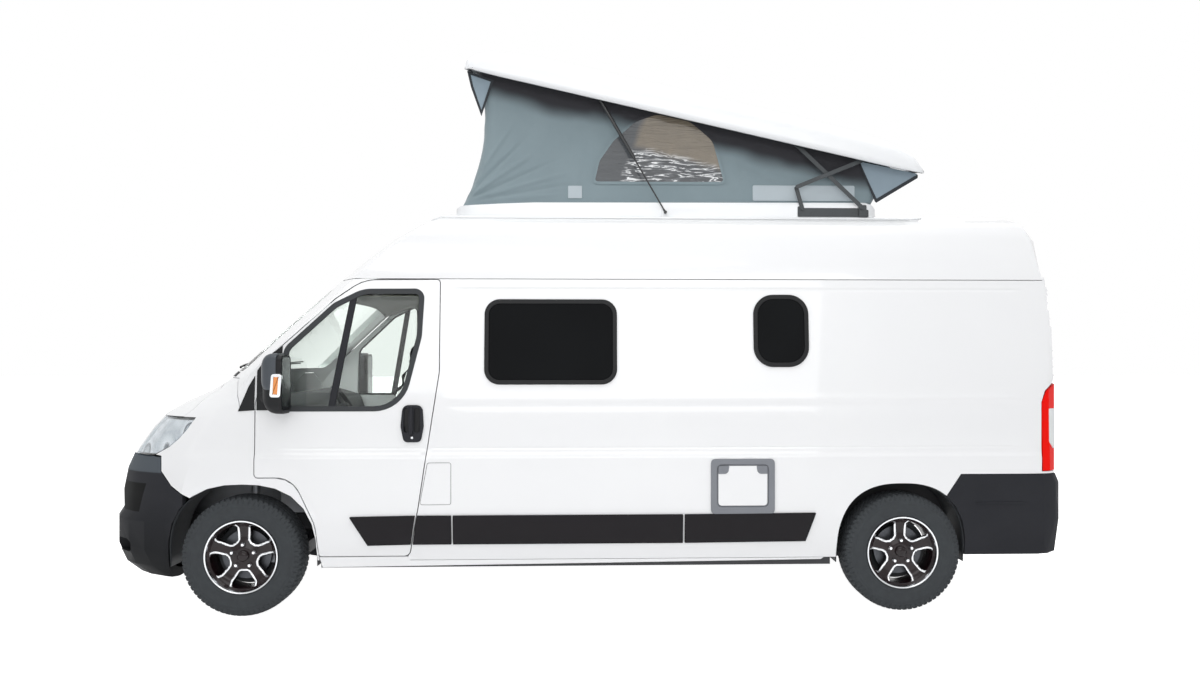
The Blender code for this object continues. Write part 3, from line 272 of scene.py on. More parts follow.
def bar(path, radius, sides=10, close=False):
    # A round bar along a path: each ring is the path's point plus a circle square to its direction
    path = np.asarray(path, float)
    along = np.roll(path, -1, 0) - np.roll(path, 1, 0) if close else np.gradient(path, axis=0)
    along /= np.linalg.norm(along, axis=1)[:, None]
    up = np.where(np.abs(along[:, 2:]) > 0.9, np.array([1.0, 0, 0]), np.array([0, 0, 1.0]))
    side = np.cross(along, up)
    side /= np.linalg.norm(side, axis=1)[:, None]
    top = np.cross(side, along)
    turn = np.linspace(0, 2 * np.pi, sides, endpoint=False)
    radius = np.broadcast_to(np.asarray(radius, float), (len(path),))[:, None, None]
    ring = side[:, None] * np.cos(turn)[None, :, None] + top[:, None] * np.sin(turn)[None, :, None]
    points = path[:, None] + ring * radius
    faces = gridFaces(len(path), sides, close, True).tolist()
    if not close:
        faces += [list(range(sides))[::-1], list(range((len(path) - 1) * sides, len(path) * sides))]
    return points.reshape(-1, 3), faces


def turnedShape(profile, steps):
    # A profile of radius and offset turned about a crosswise axis: x = r cos a, z = r sin a, y = offset
    profile = np.asarray(profile, float)
    a = np.linspace(0, 2 * np.pi, steps, endpoint=False)[:, None]
    points = np.stack([profile[:, 0] * np.cos(a), np.broadcast_to(profile[:, 1], (steps, len(profile))),
                       profile[:, 0] * np.sin(a)], -1)
    return points.reshape(-1, 3), gridFaces(steps, len(profile), True, True)


def joinShapes(shapes):
    # Several (points, faces) pairs as one
    points, faces, start = [], [], 0
    for p, f in shapes:
        points.append(np.asarray(p, float).reshape(-1, 3))
        faces += [[i + start for i in face] for face in (f.tolist() if isinstance(f, np.ndarray) else f)]
        start += len(points[-1])
    return np.concatenate(points), faces


def slab(outline, low, high, plane="xz"):
    # A flat outline in a plane, closed between two depths along that plane's normal
    outline = np.asarray(outline, float)
    count = len(outline)
    order = {"xz": (0, 2, 1), "yz": (1, 2, 0)}[plane]
    points = np.zeros((2, count, 3))
    points[:, :, order[0]], points[:, :, order[1]] = outline[:, 0], outline[:, 1]
    points[0, :, order[2]], points[1, :, order[2]] = low, high
    faces = gridFaces(2, count, False, True).tolist()
    faces += [list(range(count))[::-1], list(range(count, 2 * count))]
    return points.reshape(-1, 3), faces


# Small tools for materials

def linearColour(code):
    values = np.array([int(code[i:i + 2], 16) for i in (0, 2, 4)]) / 255
    linear = np.where(values <= 0.04045, values / 12.92, ((values + 0.055) / 1.055) ** 2.4)
    return (*linear.tolist(), 1.0)


def addNode(tree, kind, inputs=None, output=None, into=None):
    # Adds a node, sets its options and its sockets' values, links a socket where another node's output is given, and
    # links the output that is asked for into a socket; gives back that output, or else the node
    node = tree.nodes.new("ShaderNode" + kind)
    for key, value in (inputs or {}).items():
        if isinstance(value, bpy.types.NodeSocket):
            tree.links.new(value, node.inputs[key])
        elif isinstance(key, str) and key[0].islower():
            setattr(node, key, value)
        else:
            node.inputs[key].default_value = value
    if into:
        tree.links.new(node.outputs[output], into)
    return node if output is None else node.outputs[output]


def newMaterial(name, colour, roughness, **more):
    # A Principled material with its tree, the shader's sockets and object coordinates
    material = bpy.data.materials.new(name)
    material.use_nodes = True
    tree = material.node_tree
    sockets = tree.nodes["Principled BSDF"].inputs
    sockets["Base Color"].default_value = linearColour(colour)
    sockets["Roughness"].default_value = roughness
    for key, value in more.items():
        sockets[key].default_value = value
    return material, tree, sockets, addNode(tree, "TexCoord", {}, "Object")


# Materials, each named for what the real one is. Noise of scale 1 / size has grains about size metres across

def makeSurface(name, colour, low, high, roughness, cloud, grain, bump, spread=None, **more):
    # Colour and gloss drift with a wide noise of (size, detail, roughness), and a fine one gives the bump
    material, tree, sockets, coords = newMaterial(name, colour, roughness, **more)
    drift, fine = (addNode(tree, "TexNoise", {"Scale": 1 / size, "Detail": detail, "Roughness": rough,
                                              "Vector": coords}, "Fac") for size, detail, rough in (cloud, grain))
    addNode(tree, "Mix", {"data_type": "RGBA", 0: drift, 6: linearColour(low), 7: linearColour(high)}, 2,
            sockets["Base Color"])
    if spread:
        addNode(tree, "MapRange", {0: drift, 3: spread[0], 4: spread[1]}, 0, sockets["Roughness"])
    addNode(tree, "Bump", {"Strength": bump[0], "Distance": bump[1], "Height": fine}, 0, sockets["Normal"])
    return material


def makeMetal(name, low, high, roughness, grain=0.004, strength=0.1):
    # Bare metal with fine tool marks and a slight change of tone
    return makeSurface(name, low, low, high, roughness, (0.04, 3.0, 0.5), (grain, 2.0, 0.5), (strength, 0.0004),
                       (roughness - 0.06, roughness + 0.08), **{"Metallic": 1.0})


def makePowderCoat(name, low, high, roughness):
    # Powder coat on steel: satin, with a fine leathery bump and dust in its hollows
    return makeSurface(name, low, low, high, roughness, (0.12, 4.0, 0.5), (0.003, 3.0, 0.5), (0.18, 0.0004),
                       (roughness - 0.08, roughness + 0.12))


def makeGelcoat():
    # Polished gelcoat over glass fibre: white, a little softer in gloss than the steel, with long shallow waves
    material, tree, sockets, coords = newMaterial("whiteGelcoat", "ECEEF0", 0.30, **{"Coat Weight": 0.4,
                                                                                   "Coat Roughness": 0.10})
    waves = addNode(tree, "TexNoise", {"Scale": 1 / 0.25, "Detail": 2.0, "Vector": coords}, "Fac")
    fibres = addNode(tree, "TexNoise", {"Scale": 1 / 0.006, "Detail": 3.0, "Vector": coords}, "Fac")
    addNode(tree, "Mix", {"data_type": "RGBA", 0: waves, 6: linearColour("E9EBEE"), 7: linearColour("EFF1F2")}, 2,
            sockets["Base Color"])
    total = addNode(tree, "Math", {"operation": "MULTIPLY_ADD", 0: waves, 1: 6.0, 2: fibres}, 0)
    addNode(tree, "Bump", {"Strength": 0.06, "Distance": 0.0006, "Height": total}, 0, sockets["Normal"])
    return material


def makePlastic(name, low, high, roughness, grain=0.0022, depth=0.0004, specular=0.22):
    # Moulded polypropylene, spark-eroded grain a millimetre across, drawn at two so that it shows
    material, tree, sockets, coords = newMaterial(name, low, roughness, **{"Specular IOR Level": specular})
    pebbles = addNode(tree, "TexVoronoi", {"Scale": 1 / grain, "Vector": coords}, "Distance")
    cloud = addNode(tree, "TexNoise", {"Scale": 1 / 0.30, "Detail": 3.0, "Vector": coords}, "Fac")
    addNode(tree, "Mix", {"data_type": "RGBA", 0: cloud, 6: linearColour(low), 7: linearColour(high)}, 2,
            sockets["Base Color"])
    addNode(tree, "MapRange", {0: cloud, 3: roughness - 0.07, 4: roughness + 0.07}, 0, sockets["Roughness"])
    addNode(tree, "Bump", {"Strength": 0.25, "Distance": depth, "Height": pebbles}, 0, sockets["Normal"])
    return material


# The bumpers: a paler upper face, painted light where the top lamp falls on it, darker towards the ground at the front,
# and painted shade, near black, in the recess round the nose, ahead of a slanted plane and between two heights. Each
# layer: colour, then ranges of direction, from, to, start and end

bumperLayers = (("545A60", (((0.0, 0.0, 1.0), 0.864, 0.872, 0.0, 1.0),)),
                ("0E1011", (((0.12, 0.0, 1.0), -0.05, 0.420, 0.92, 0.0),)),
                ("070809", (((0.0, 0.0, 1.0), 0.620, 0.624, 0.0, 1.0), ((0.0, 0.0, 1.0), 0.796, 0.802, 1.0, 0.0),
                            ((1.0, 0.0, -0.32), -2.917, -2.911, 1.0, 0.0))))


def makeBumperPlastic():
    material = makePlastic("greyGrainedPlastic", "28292D", "333438", 0.60, specular=0.08)
    tree = material.node_tree
    base = tree.nodes["Principled BSDF"].inputs["Base Color"]
    coords = addNode(tree, "TexCoord", {}, "Object")
    # Each layer paints over the plastic: painted light on the upper face and painted shade in the recess round the nose
    for colour, ranges in bumperLayers:
        share = 1.0
        for direction, low, high, start, end in ranges:
            along = addNode(tree, "VectorMath", {"operation": "DOT_PRODUCT", 0: coords, 1: direction}, "Value")
            step = addNode(tree, "MapRange", {0: along, 1: low, 2: high, 3: start, 4: end}, 0)
            share = addNode(tree, "Math", {"operation": "MULTIPLY", 0: step, 1: share}, 0)
        addNode(tree, "Mix", {"data_type": "RGBA", 0: share, 6: base.links[0].from_socket, 7: linearColour(colour)}, 2,
                base)
    return material


def makeGlass(name, tint, roughness=0.0, ior=1.45):
    # See-through with a faint tint; shadow rays pass, so that lamps reach the cab
    material, tree, sockets, coords = newMaterial(name, tint, roughness, **{"Transmission Weight": 1.0, "IOR": ior,
                                                                             "Coat Weight": 0.35})
    shadow = addNode(tree, "LightPath", {}, "Is Shadow Ray")
    clear = addNode(tree, "BsdfTransparent", {"Color": linearColour(tint)}, 0)
    addNode(tree, "MixShader", {0: shadow, 1: tree.nodes["Principled BSDF"].outputs[0], 2: clear}, 0,
            tree.nodes["Material Output"].inputs["Surface"])
    smear = addNode(tree, "TexNoise", {"Scale": 1 / 0.35, "Detail": 2.0, "Vector": coords}, "Fac")
    addNode(tree, "MapRange", {0: smear, 3: roughness, 4: roughness + 0.012}, 0, sockets["Roughness"])
    return material


def makeCanvasCloth(name, low, high, paintedShade=None):
    # Coated cotton and polyester canvas: plain weave of 0.7 mm threads drawn at 3.5 mm, matt with a faint sheen
    material, tree, sockets, coords = newMaterial(name, low, 0.82, **{"Sheen Weight": 0.25, "Sheen Roughness": 0.5})
    period, thread = 0.314, 0.0035                    # a wave texture of scale 1 repeats every 0.314 m
    warp, weft = (addNode(tree, "TexWave", {"bands_direction": way, "Scale": period / thread, "Distortion": 0.6,
                                            "Vector": coords}, "Fac") for way in ("X", "Z"))
    weave = addNode(tree, "Math", {"operation": "MULTIPLY", 0: warp, 1: weft}, 0)
    blotch = addNode(tree, "TexNoise", {"Scale": 1 / 0.35, "Detail": 4.0, "Roughness": 0.6, "Vector": coords}, "Fac")
    mixed = addNode(tree, "Math", {"operation": "MULTIPLY_ADD", 0: weave, 1: 0.18, 2: blotch}, 0)
    shown = addNode(tree, "Mix", {"data_type": "RGBA", 0: mixed, 6: linearColour(low), 7: linearColour(high)}, 2,
                    sockets["Base Color"])
    addNode(tree, "Bump", {"Strength": 0.25, "Distance": 0.0006, "Height": weave}, 0, sockets["Normal"])
    if paintedShade:
        # Painted shade under the shell's overhang, on a band that is partly a doubled layer of cloth: darker the nearer
        # to the shell along a line that slopes with it
        fall = addNode(tree, "VectorMath", {"operation": "DOT_PRODUCT", 0: coords, 1: (-0.222, 0.0, -1.0)}, "Value")
        drift = addNode(tree, "TexNoise", {"Scale": 1 / 0.45, "Detail": 2.0, "Vector": coords}, "Fac")
        depth = addNode(tree, "Math", {"operation": "MULTIPLY_ADD", 0: drift, 1: 0.14, 2: fall}, 0)
        shade = addNode(tree, "MapRange", {"interpolation_type": "SMOOTHSTEP", 0: depth, 1: -3.092, 2: -2.975, 3: 1.0,
                                           4: 0.0}, 0)
        addNode(tree, "Mix", {"data_type": "RGBA", 0: shade, 6: shown, 7: linearColour(paintedShade)}, 2,
                sockets["Base Color"])
    return material


def paintRamp(ramp, colours, between):
    # The colours of a ramp's two ends, then those at the positions between
    stops = ramp.color_ramp.elements
    stops[0].color, stops[1].color = (linearColour(colour) for colour in colours)
    for position, colour in between:
        stops.new(position).color = linearColour(colour)
    return ramp.outputs[0]


def makeLampChrome():
    # Vacuum-chromed lamp housing: bright bowls with dark rings in them, painted reflections laid into the chrome's
    # colour
    material, tree, sockets, coords = newMaterial("lampHousingChrome", "C8CBCE", 0.16, **{"Metallic": 0.85})
    flat = addNode(tree, "Mapping", {"Rotation": (0.0, -0.5, 0.0), "Scale": (8.5, 0.6, 6.0), "Vector": coords}, 0)
    bowls = addNode(tree, "TexVoronoi", {"Scale": 1.0, "Randomness": 0.35, "Vector": flat}, "Distance")
    # Painted reflections: the ramp's bright and dark rings stand for what each bowl mirrors
    tree.links.new(paintRamp(addNode(tree, "ValToRGB", {0: bowls}), ("F2F4F6", "DDE1E4"), (
        (0.13, "C4C9CD"), (0.19, "4A4F54"), (0.24, "E4E7E9"), (0.36, "B4BABE"), (0.42, "5E6469"), (0.47, "EDEFF1"),
        (0.70, "C9CED2"))), sockets["Base Color"])
    addNode(tree, "Bump", {"Strength": 0.5, "Distance": 0.01, "Height": bowls}, 0, sockets["Normal"])
    return material


# Baked acrylic enamel on pressed steel: even white with a clear gloss. Its orange peel is 1 to 3 mm, drawn coarser
paint = makeSurface("whiteEnamelOnSteel", "EEEFF1", "ECEDEF", "F0F1F2", 0.32, (0.9, 2.0, 0.5),
                    (0.012, 2.0, 0.5), (0.04, 0.0006), (0.28, 0.36), **{"Coat Weight": 0.8, "Coat Roughness": 0.04})
gelcoat = makeGelcoat()
bumperPlastic = makeBumperPlastic()
stripPlastic = makePlastic("sideStripPlastic", "141215", "1D1B1E", 0.46, specular=0.14)
blackPlastic = makePlastic("blackMouldedPlastic", "101113", "18191B", 0.45)
trimPlastic = makePlastic("charcoalTrim", "26272B", "323337", 0.52, specular=0.12)
# The mirror cap's grey is partly its own tone and partly painted highlight where the top light falls on it
capPlastic = makePlastic("mirrorCapPlastic", "44494E", "53585E", 0.36)
framePlastic = makePlastic("greyHatchPlastic", "7F8288", "8B8E94", 0.48, specular=0.14)
deckPlastic = makePlastic("cabinPlastic", "2B2C2F", "37383B", 0.62, 0.004)
# Tinted cast acrylic of the double windows: almost black, with a clean gloss
acrylic = makeSurface("tintedAcrylic", "0E0F11", "0B0C0E", "121416", 0.05, (0.35, 1.0, 0.5),
                      (0.35, 1.0, 0.5), (0.03, 0.002), **{"Specular IOR Level": 0.03})
cabGlass = makeGlass("cabGlass", "F2F7F4", 0.0, 1.04)
lampLens = makeGlass("clearLampLens", "F2F5F7", 0.03)
redLens = makePlastic("redLampLens", "EE120B", "FA1C14", 0.14, 0.006, 0.0006, 0.05)
clearLens = makePlastic("reversingLampLens", "DDE1E3", "EEF1F2", 0.12, 0.008, 0.0004, 0.30)
amberLens = makePlastic("amberLampLens", "E88A45", "F2A468", 0.12, 0.008, 0.0006, 0.30)
# The grey canvas carries painted shade under the shell's overhang
canvasCloth = makeCanvasCloth("greyCanvas", "75858B", "84949A", paintedShade="1D1D23")
gussetCloth = makeCanvasCloth("gussetCanvas", "8697A3", "95A5B0")
darkCloth = makeCanvasCloth("darkCanvasEdge", "23272C", "2E3338")
paleCloth = makeCanvasCloth("paleCanvasPatch", "A9B4BA", "BAC4CA")
# Tyre rubber: carbon-black, matt, a little grey with dust, fine moulding texture
tyreRubber = makeSurface("tyreRubber", "2A2B2E", "2D3033", "404447", 0.80, (0.05, 4.0, 0.6),
                         (0.003, 2.0, 0.5), (0.2, 0.0005), (0.72, 0.88), **{"Specular IOR Level": 0.35})
sealRubber = makePowderCoat("sealRubber", "1D2023", "2A2E32", 0.62)
# Black lacquer on a cast alloy wheel, with the dark red bloom that its clear coat shows
wheelLacquer = makeSurface("blackWheelLacquer", "1B1517", "0E0C0E", "200C10", 0.26, (0.10, 2.0, 0.5),
                           (0.004, 2.0, 0.5), (0.05, 0.0004), **{
                               "Coat Weight": 0.25, "Coat Roughness": 0.08, "Specular IOR Level": 0.2})
turnedAlloy = makeMetal("diamondTurnedAlloy", "C9CBCE", "DCDEE0", 0.22)
chrome = makeMetal("chromedPlastic", "DADCDF", "ECEDEF", 0.08, 0.02, 0.03)
lampChrome = makeLampChrome()
mirrorSilver = makeMetal("mirrorSilver", "34383B", "404447", 0.08, 0.02, 0.02)
castIron = makeMetal("groundCastIron", "3E4043", "57595D", 0.40)
castAlloy = makeMetal("castAlloy", "76787C", "8A8C90", 0.48, 0.006, 0.2)
chassisCoat = makePowderCoat("chassisCoat", "1D1E21", "2A2B2E", 0.58)
bracketCoat = makePowderCoat("bracketCoat", "2C3033", "3B4043", 0.46)
strutCoat = makePowderCoat("strutCoat", "141517", "1E2022", 0.35)
seatCloth = makeCanvasCloth("seatCloth", "3F4145", "4D4F54")
headliner = makeCanvasCloth("headlinerCloth", "494841", "56554D")

bothSides = (("left", -1), ("right", 1))
print("materials made")


# The body's skin as functions: the same tables of sizes as the frame's solids, joined by smooth curves

noseLine = np.array([(0.400, -2.999, 0.0), (0.570, -2.999, 0.0), (0.620, -2.966, 0.0), (0.730, -2.968, 0.0),
                     (0.870, -2.940, 0.0), (0.965, -2.897, 0.0), (1.123, -2.785, 0.0), (1.212, -2.700, 0.1),
                     (1.290, -2.565, 0.3), (1.357, -2.415, 0.6), (1.417, -2.315, 0.9), (1.480, -2.245, 1.0),
                     (1.755, -1.940, 1.0), (2.045, -1.606, 1.0), (2.190, -1.434, 1.0), (2.315, -1.270, 1.0),
                     (2.405, -1.110, 1.0), (2.490, -0.880, 1.0), (2.560, -0.450, 1.0)])
tailLine = np.array([(0.335, 2.900), (0.360, 2.970), (0.560, 2.999), (0.790, 2.999), (0.856, 2.970), (1.450, 2.970),
                     (1.780, 2.958), (2.055, 2.925), (2.300, 2.868), (2.400, 2.815), (2.455, 2.730), (2.500, 2.560)])
planCurve = np.array([(0.00, 0.000, 0.000, 0.000), (0.30, 0.008, 0.010, 0.002), (0.60, 0.040, 0.045, 0.006),
                      (0.75, 0.110, 0.095, 0.014), (0.85, 0.210, 0.150, 0.024), (0.93, 0.340, 0.200, 0.040),
                      (0.98, 0.470, 0.240, 0.075), (1.06, 0.640, 0.310, 0.180), (1.50, 1.600, 0.700, 0.900)])
tailCurve = np.array([(0.00, 0.000), (0.60, 0.001), (0.85, 0.003), (0.93, 0.006), (0.965, 0.014), (0.990, 0.034),
                      (1.020, 0.085), (1.060, 0.180), (1.50, 0.900)])
sideLine = np.array([(0.150, 0.965), (0.335, 0.982), (0.420, 1.004), (0.520, 1.017), (0.600, 1.025), (0.955, 1.025),
                     (0.985, 1.014), (1.020, 1.012), (1.250, 1.004), (2.030, 0.944), (2.056, 0.942), (2.330, 0.906),
                     (2.385, 0.888), (2.424, 0.855), (2.447, 0.800), (2.485, 0.600), (2.511, 0.300), (2.520, 0.000)])


def noseX(y, z):
    # The front skin: the centre line at this height, set back by the bumper's and the screen's plan curves
    y = np.abs(y)
    share = curveAt(noseLine, z, 2)
    return curveAt(noseLine, z) + curveAt(planCurve, y) * (1 - share) + curveAt(planCurve, y, 2) * share


def tailX(y, z, curve=tailCurve):
    # The rear skin, with the tight corners that the photograph shows; the frame's corners are rounder by a few cm
    return curveAt(tailLine, z) - curveAt(curve, np.abs(y))


def halving(test, low, high, steps=26):
    # The largest value, found by halving, at which the test still holds, for a whole array at once
    for step in range(steps):
        middle = (low + high) / 2
        good = test(middle)
        low, high = np.where(good, middle, low), np.where(good, high, middle)
    return low


def flankY(x, z):
    # Half width of the skin: the cross-section's, less where the nose and the tail round it off
    x, z = np.broadcast_arrays(np.asarray(x, float), np.asarray(z, float))
    side = curveAt(sideLine, z)
    nose = halving(lambda y: noseX(y, z) < x, np.zeros(x.shape), np.full(x.shape, 1.45))
    tail = halving(lambda y: tailX(y, z) > x, np.zeros(x.shape), np.full(x.shape, 1.45))
    return softMin(softMin(side, nose), tail)


# Solids that reach behind squared are moved along rays from (x, y), searched as far as reach, to at most stretch
# times their distance
tailCorner = {"squared": 2.82, "x": 2.80, "y": 0.80, "reach": 0.6, "stretch": 1.6}


def squareTail(points):
    # Moves a copied solid's points behind the tail corner's x out to the tight corners: along a ray from the corner in
    # plan, or straight back nearer the middle, by the share by which the new skin is further along it than the frame's
    corner = tailCorner["x"]
    x, y, z = points[:, 0], np.abs(points[:, 1]), points[:, 2]
    foot = np.minimum(y, tailCorner["y"])
    dx, dy = x - corner, y - foot
    length = np.maximum(np.hypot(dx, dy), 1e-6)
    ux, uy = dx / length, dy / length
    side = curveAt(sideLine, z)

    def reach(curve):
        return halving(lambda r: (corner + ux * r < tailX(foot + uy * r, z, curve)) & (foot + uy * r < side),
                       np.zeros(len(x)), np.full(len(x), tailCorner["reach"]))

    share = np.where((dx > 0) & (y > 0.02), reach(tailCurve) / np.maximum(reach(planCurve[:, [0, 3]]), 1e-4), 1.0)
    share = np.clip(share, 1.0, tailCorner["stretch"])
    return np.stack([corner + dx * share, np.sign(points[:, 1]) * (foot + dy * share), z], 1)


def pressedLines(x, z):
    # The flank's pressed lines: shallow steps and ridges in z, each faded out at its ends in x
    fade = smoothStep(-0.86, -0.70, x) * (1 - smoothStep(2.66, 2.80, x))
    long = 0.0032 * np.exp(-((z - 1.990) / 0.007) ** 2)
    ridge = 0.0035 * np.exp(-((z - 1.316) / 0.022) ** 2) - 0.0025 * np.exp(-((z - 1.275) / 0.020) ** 2)
    low = 0.0025 * np.exp(-((z - 1.018) / 0.006) ** 2)
    return fade * (long - ridge) + low * smoothStep(-1.90, -1.70, x) * (1 - smoothStep(2.60, 2.80, x))


def onFlank(side, out=0.0):
    # Places flat (x, z) points on the left or right skin, out metres proud of it
    def place(flat):
        x, z = flat[:, 0], flat[:, 1]
        y = flankY(x, z) - pressedLines(x, z) + out
        return np.stack([x, side * y, z], 1)
    return place


# Side panels, doors and fenders

lineRows = np.unique(np.round(np.concatenate([
    np.arange(0.36, 2.06, 0.05), 0.600 + np.arange(-1, 2) * 0.02, [0.940, 0.955, 0.965, 0.975, 0.985, 1.000],
    1.018 + np.arange(-3, 4) * 0.004, 1.275 + np.arange(-2, 3) * 0.013, 1.316 + np.arange(-3, 4) * 0.011,
    1.990 + np.arange(-3, 4) * 0.005]), 4))
lineRows = lineRows[np.concatenate([[True], np.diff(lineRows) > 0.0025])]

cabDoorLine = roundedLine([(-1.966, 0.846, 0.020), (-1.966, 1.290, 0.200), (-1.900, 1.560, 0.080),
                           (-1.500, 1.925, 0.120), (-1.330, 2.042, 0.250), (-0.867, 2.046, 0.020),
                           (-0.867, 1.480, 0.300), (-0.990, 0.660, 0.200), (-1.045, 0.362, 0.040),
                           (-1.586, 0.362, 0.010), (-1.605, 0.560, 0.250), (-1.740, 0.846, 0.160)])
doorWindowLine = roundedLine([(-1.800, 1.262, 0.020), (-1.786, 1.618, 0.080), (-1.500, 1.885, 0.100),
                              (-1.330, 1.970, 0.200), (-0.978, 1.972, 0.040), (-0.992, 1.700, 0.200),
                              (-1.100, 1.262, 0.200)])
slidingLine = rectangle(-0.830, 0.480, 0.400, 1.985, 0.040)
largeWindow = (-0.578, 0.206, 1.418, 1.913, 0.080)
smallWindow = (1.077, 1.393, 1.524, 1.944, 0.110)
hatchFrame = (0.793, 1.185, 0.612, 0.949, 0.030)
hatchLid = {"front": 0.838, "rear": 1.139, "top": 0.906}
tailLampLine = np.array([(2.856, 0.866), (2.862, 1.290), (2.886, 1.360), (2.990, 1.462), (3.100, 1.462),
                         (3.100, 0.866)])
claddingLine = np.array([(2.180, 0.600), (2.345, 0.846), (3.100, 0.846), (3.100, 0.300), (2.180, 0.300)])
frontAxle, rearAxle, tyreRadius, trackHalf = -2.051, 1.984, 0.364, 0.905
gap = 0.006


def archLine(x, half, height, extra=0.0, low=0.10, count=48, power=2.5):
    # Half a superellipse over the axle with straight legs: |cos|^p + |sin|^p sets the reach at each angle
    a = np.linspace(0, np.pi, count)
    reach = (np.abs(np.cos(a)) ** power + np.abs(np.sin(a)) ** power) ** (-1 / power)
    arc = np.stack([x + (half + extra) * np.cos(a) * reach, tyreRadius + (height + extra) * np.sin(a) * reach], 1)
    return np.concatenate([[(x + half + extra, low)], arc, [(x - half - extra, low)]])


frontArch, rearArch = (-2.045, 0.445, 0.441), (1.976, 0.402, 0.430)
rearZ = np.linspace(0.84, 2.07, 40)
rearEdge = np.stack([tailX(np.interp(rearZ, [0.85, 1.5, 2.234], [0.877, 0.877, 0.815]), rearZ), rearZ], 1)
rearHole = np.concatenate([rearEdge, [(3.3, 2.07), (3.3, 0.84)]])
beforeDoor = np.array([(-1.30, 0.30), (-1.30, 2.10), (-0.95, 2.10), (-0.95, 1.0), (-1.06, 0.30)])
fuelFlap = roundedLine([(-0.976, 0.678, 0.012), (-0.791, 0.678, 0.012), (-0.791, 0.929, 0.012),
                        (-0.930, 0.929, 0.012)])
sideRegion = np.array([(-1.30, 0.336), (2.98, 0.336), (2.98, 2.050), (-1.30, 2.050)])
sideHoles = [offsetLine(cabDoorLine, gap), beforeDoor, rearHole, offsetLine(tailLampLine, 0.004),
             offsetLine(claddingLine, 0.004), archLine(*rearArch)]
sideColumns = np.concatenate([np.arange(-1.05, 2.70, 0.05), np.arange(2.70, 2.96, 0.012)])


def flankPanel(name, kept, holes, side, body, replaced=(), wall=0.045, material=paint, out=0.0, edge=0.0025, columns=(),
               rows=lineRows, step=0.04):
    mesh = flatPanel(name, kept, holes, onFlank(side, out), step, rows, columns, flip=side > 0)
    piece = addWall(finishPiece(name, mesh, material, body, replaced=replaced), wall)
    return addBevel(piece, edge) if edge else piece


def flankTrim(name, side, body, material, kept, holes, wall, out, edge=0.0, **more):
    # One outline on the flank in a trim's material, with its wall, how far it stands proud and its soft edge
    return flankPanel(name, [kept], holes, side, body, wall=wall, material=material, out=out, edge=edge, **more)


flankPanel("leftSidePanel", [sideRegion], sideHoles + [rectangle(*largeWindow), rectangle(*smallWindow),
           offsetLine(rectangle(*hatchFrame), -0.012), offsetLine(fuelFlap, 0.003)], -1, "body", ["left_side"],
           columns=sideColumns)
flankPanel("rightSidePanel", [sideRegion], sideHoles + [offsetLine(slidingLine, gap), rectangle(*smallWindow)], 1,
           "body", ["right_side"], columns=sideColumns)
flankPanel("slidingDoorPanel", [slidingLine], [rectangle(*largeWindow)], 1, "body", ["sliding_door"])
flankPanel("fuelFlap", [fuelFlap], [], -1, "body", wall=0.004, edge=0.001)
for sideName, side in bothSides:
    flankPanel("cabDoorPanel_" + sideName, [cabDoorLine], [doorWindowLine], side, "cab_door_" + sideName,
               ["cab_door_" + sideName])
print("side panels made")


# Panels that keep the frame's own solids, welded and with softened edges; four of them move

moving = ("bonnet", "rear_door_left", "rear_door_right", "service_hatch")
for node, material, bevel in (
        ("high_roof", paint, 0.003), ("cab_frame", paint, 0.002), ("fender_left", paint, 0.002),
        ("fender_right", paint, 0.002), ("bonnet", paint, 0.003), ("front_bumper", bumperPlastic, 0.003),
        ("rear_bumper", bumperPlastic, 0.003), ("rear_door_left", paint, 0.003), ("rear_door_right", paint, 0.003),
        ("roof_collar", gelcoat, 0.003), ("windscreen", cabGlass, 0.0), ("tail_lamp_left", redLens, 0.002),
        ("tail_lamp_right", redLens, 0.002), ("service_hatch", paint, 0.002), ("hatch_frame", framePlastic, 0.002)):
    dressCopy(node, node + "_dressed", material, node if node in moving else "body", bevel)

# Headlamps: a clear cover, and a chromed housing a little smaller inside it

for sideName, side in bothSides:
    node = "headlamp_" + sideName
    addWall(dressCopy(node, "headlampCover_" + sideName, lampLens, "body", 0.0), 0.002)
    low, high = (np.array(v) for v in (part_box(node)))
    middle = (low + high) / 2
    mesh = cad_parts[node].data.copy()
    mesh.materials.clear()
    movePoints(mesh, lambda points: middle + (points - middle) * (0.93, 0.93, 0.90) + (0.012, -side * 0.010, -0.004))
    finishPiece("headlampInside_" + sideName, mesh, lampChrome, "body", sharp=25)
print("copied panels made")


# Cab glass, window trims and the camper windows

divisionBar = np.array([(-1.410, 1.945), (-1.371, 1.945), (-1.495, 1.256), (-1.537, 1.256)])
for sideName, side in bothSides:
    door = "cab_door_" + sideName
    flankTrim("doorGlass_" + sideName, side, door, cabGlass, offsetLine(doorWindowLine, -0.001), [], 0.005, -0.010,
              replaced=["door_glass_" + sideName])
    flankTrim("windowTrim_" + sideName, side, door, sealRubber, offsetLine(doorWindowLine, 0.020),
              [offsetLine(doorWindowLine, -0.012)], 0.012, 0.002, 0.002)
    flankTrim("windowBar_" + sideName, side, door, trimPlastic, divisionBar, [], 0.020, -0.003, 0.003)

for sideName, side in bothSides:
    for end, hole in (("front", largeWindow), ("rear", smallWindow)):
        name = "%sWindow_%s" % (end, sideName)
        border = rectangle(*hole, steps=12)
        flankTrim(name + "_frame", side, "body", blackPlastic, offsetLine(border, 0.014), [offsetLine(border, -0.014)],
                  0.012, 0.011, 0.004)
        flankTrim(name, side, "body", acrylic, offsetLine(border, -0.0135), [], 0.030, 0.006, 0.003,
                  replaced=["window_%s_%s" % (sideName, end)])


# The service hatch's two corner locks and its grey surround, then the clear part of each tail lamp

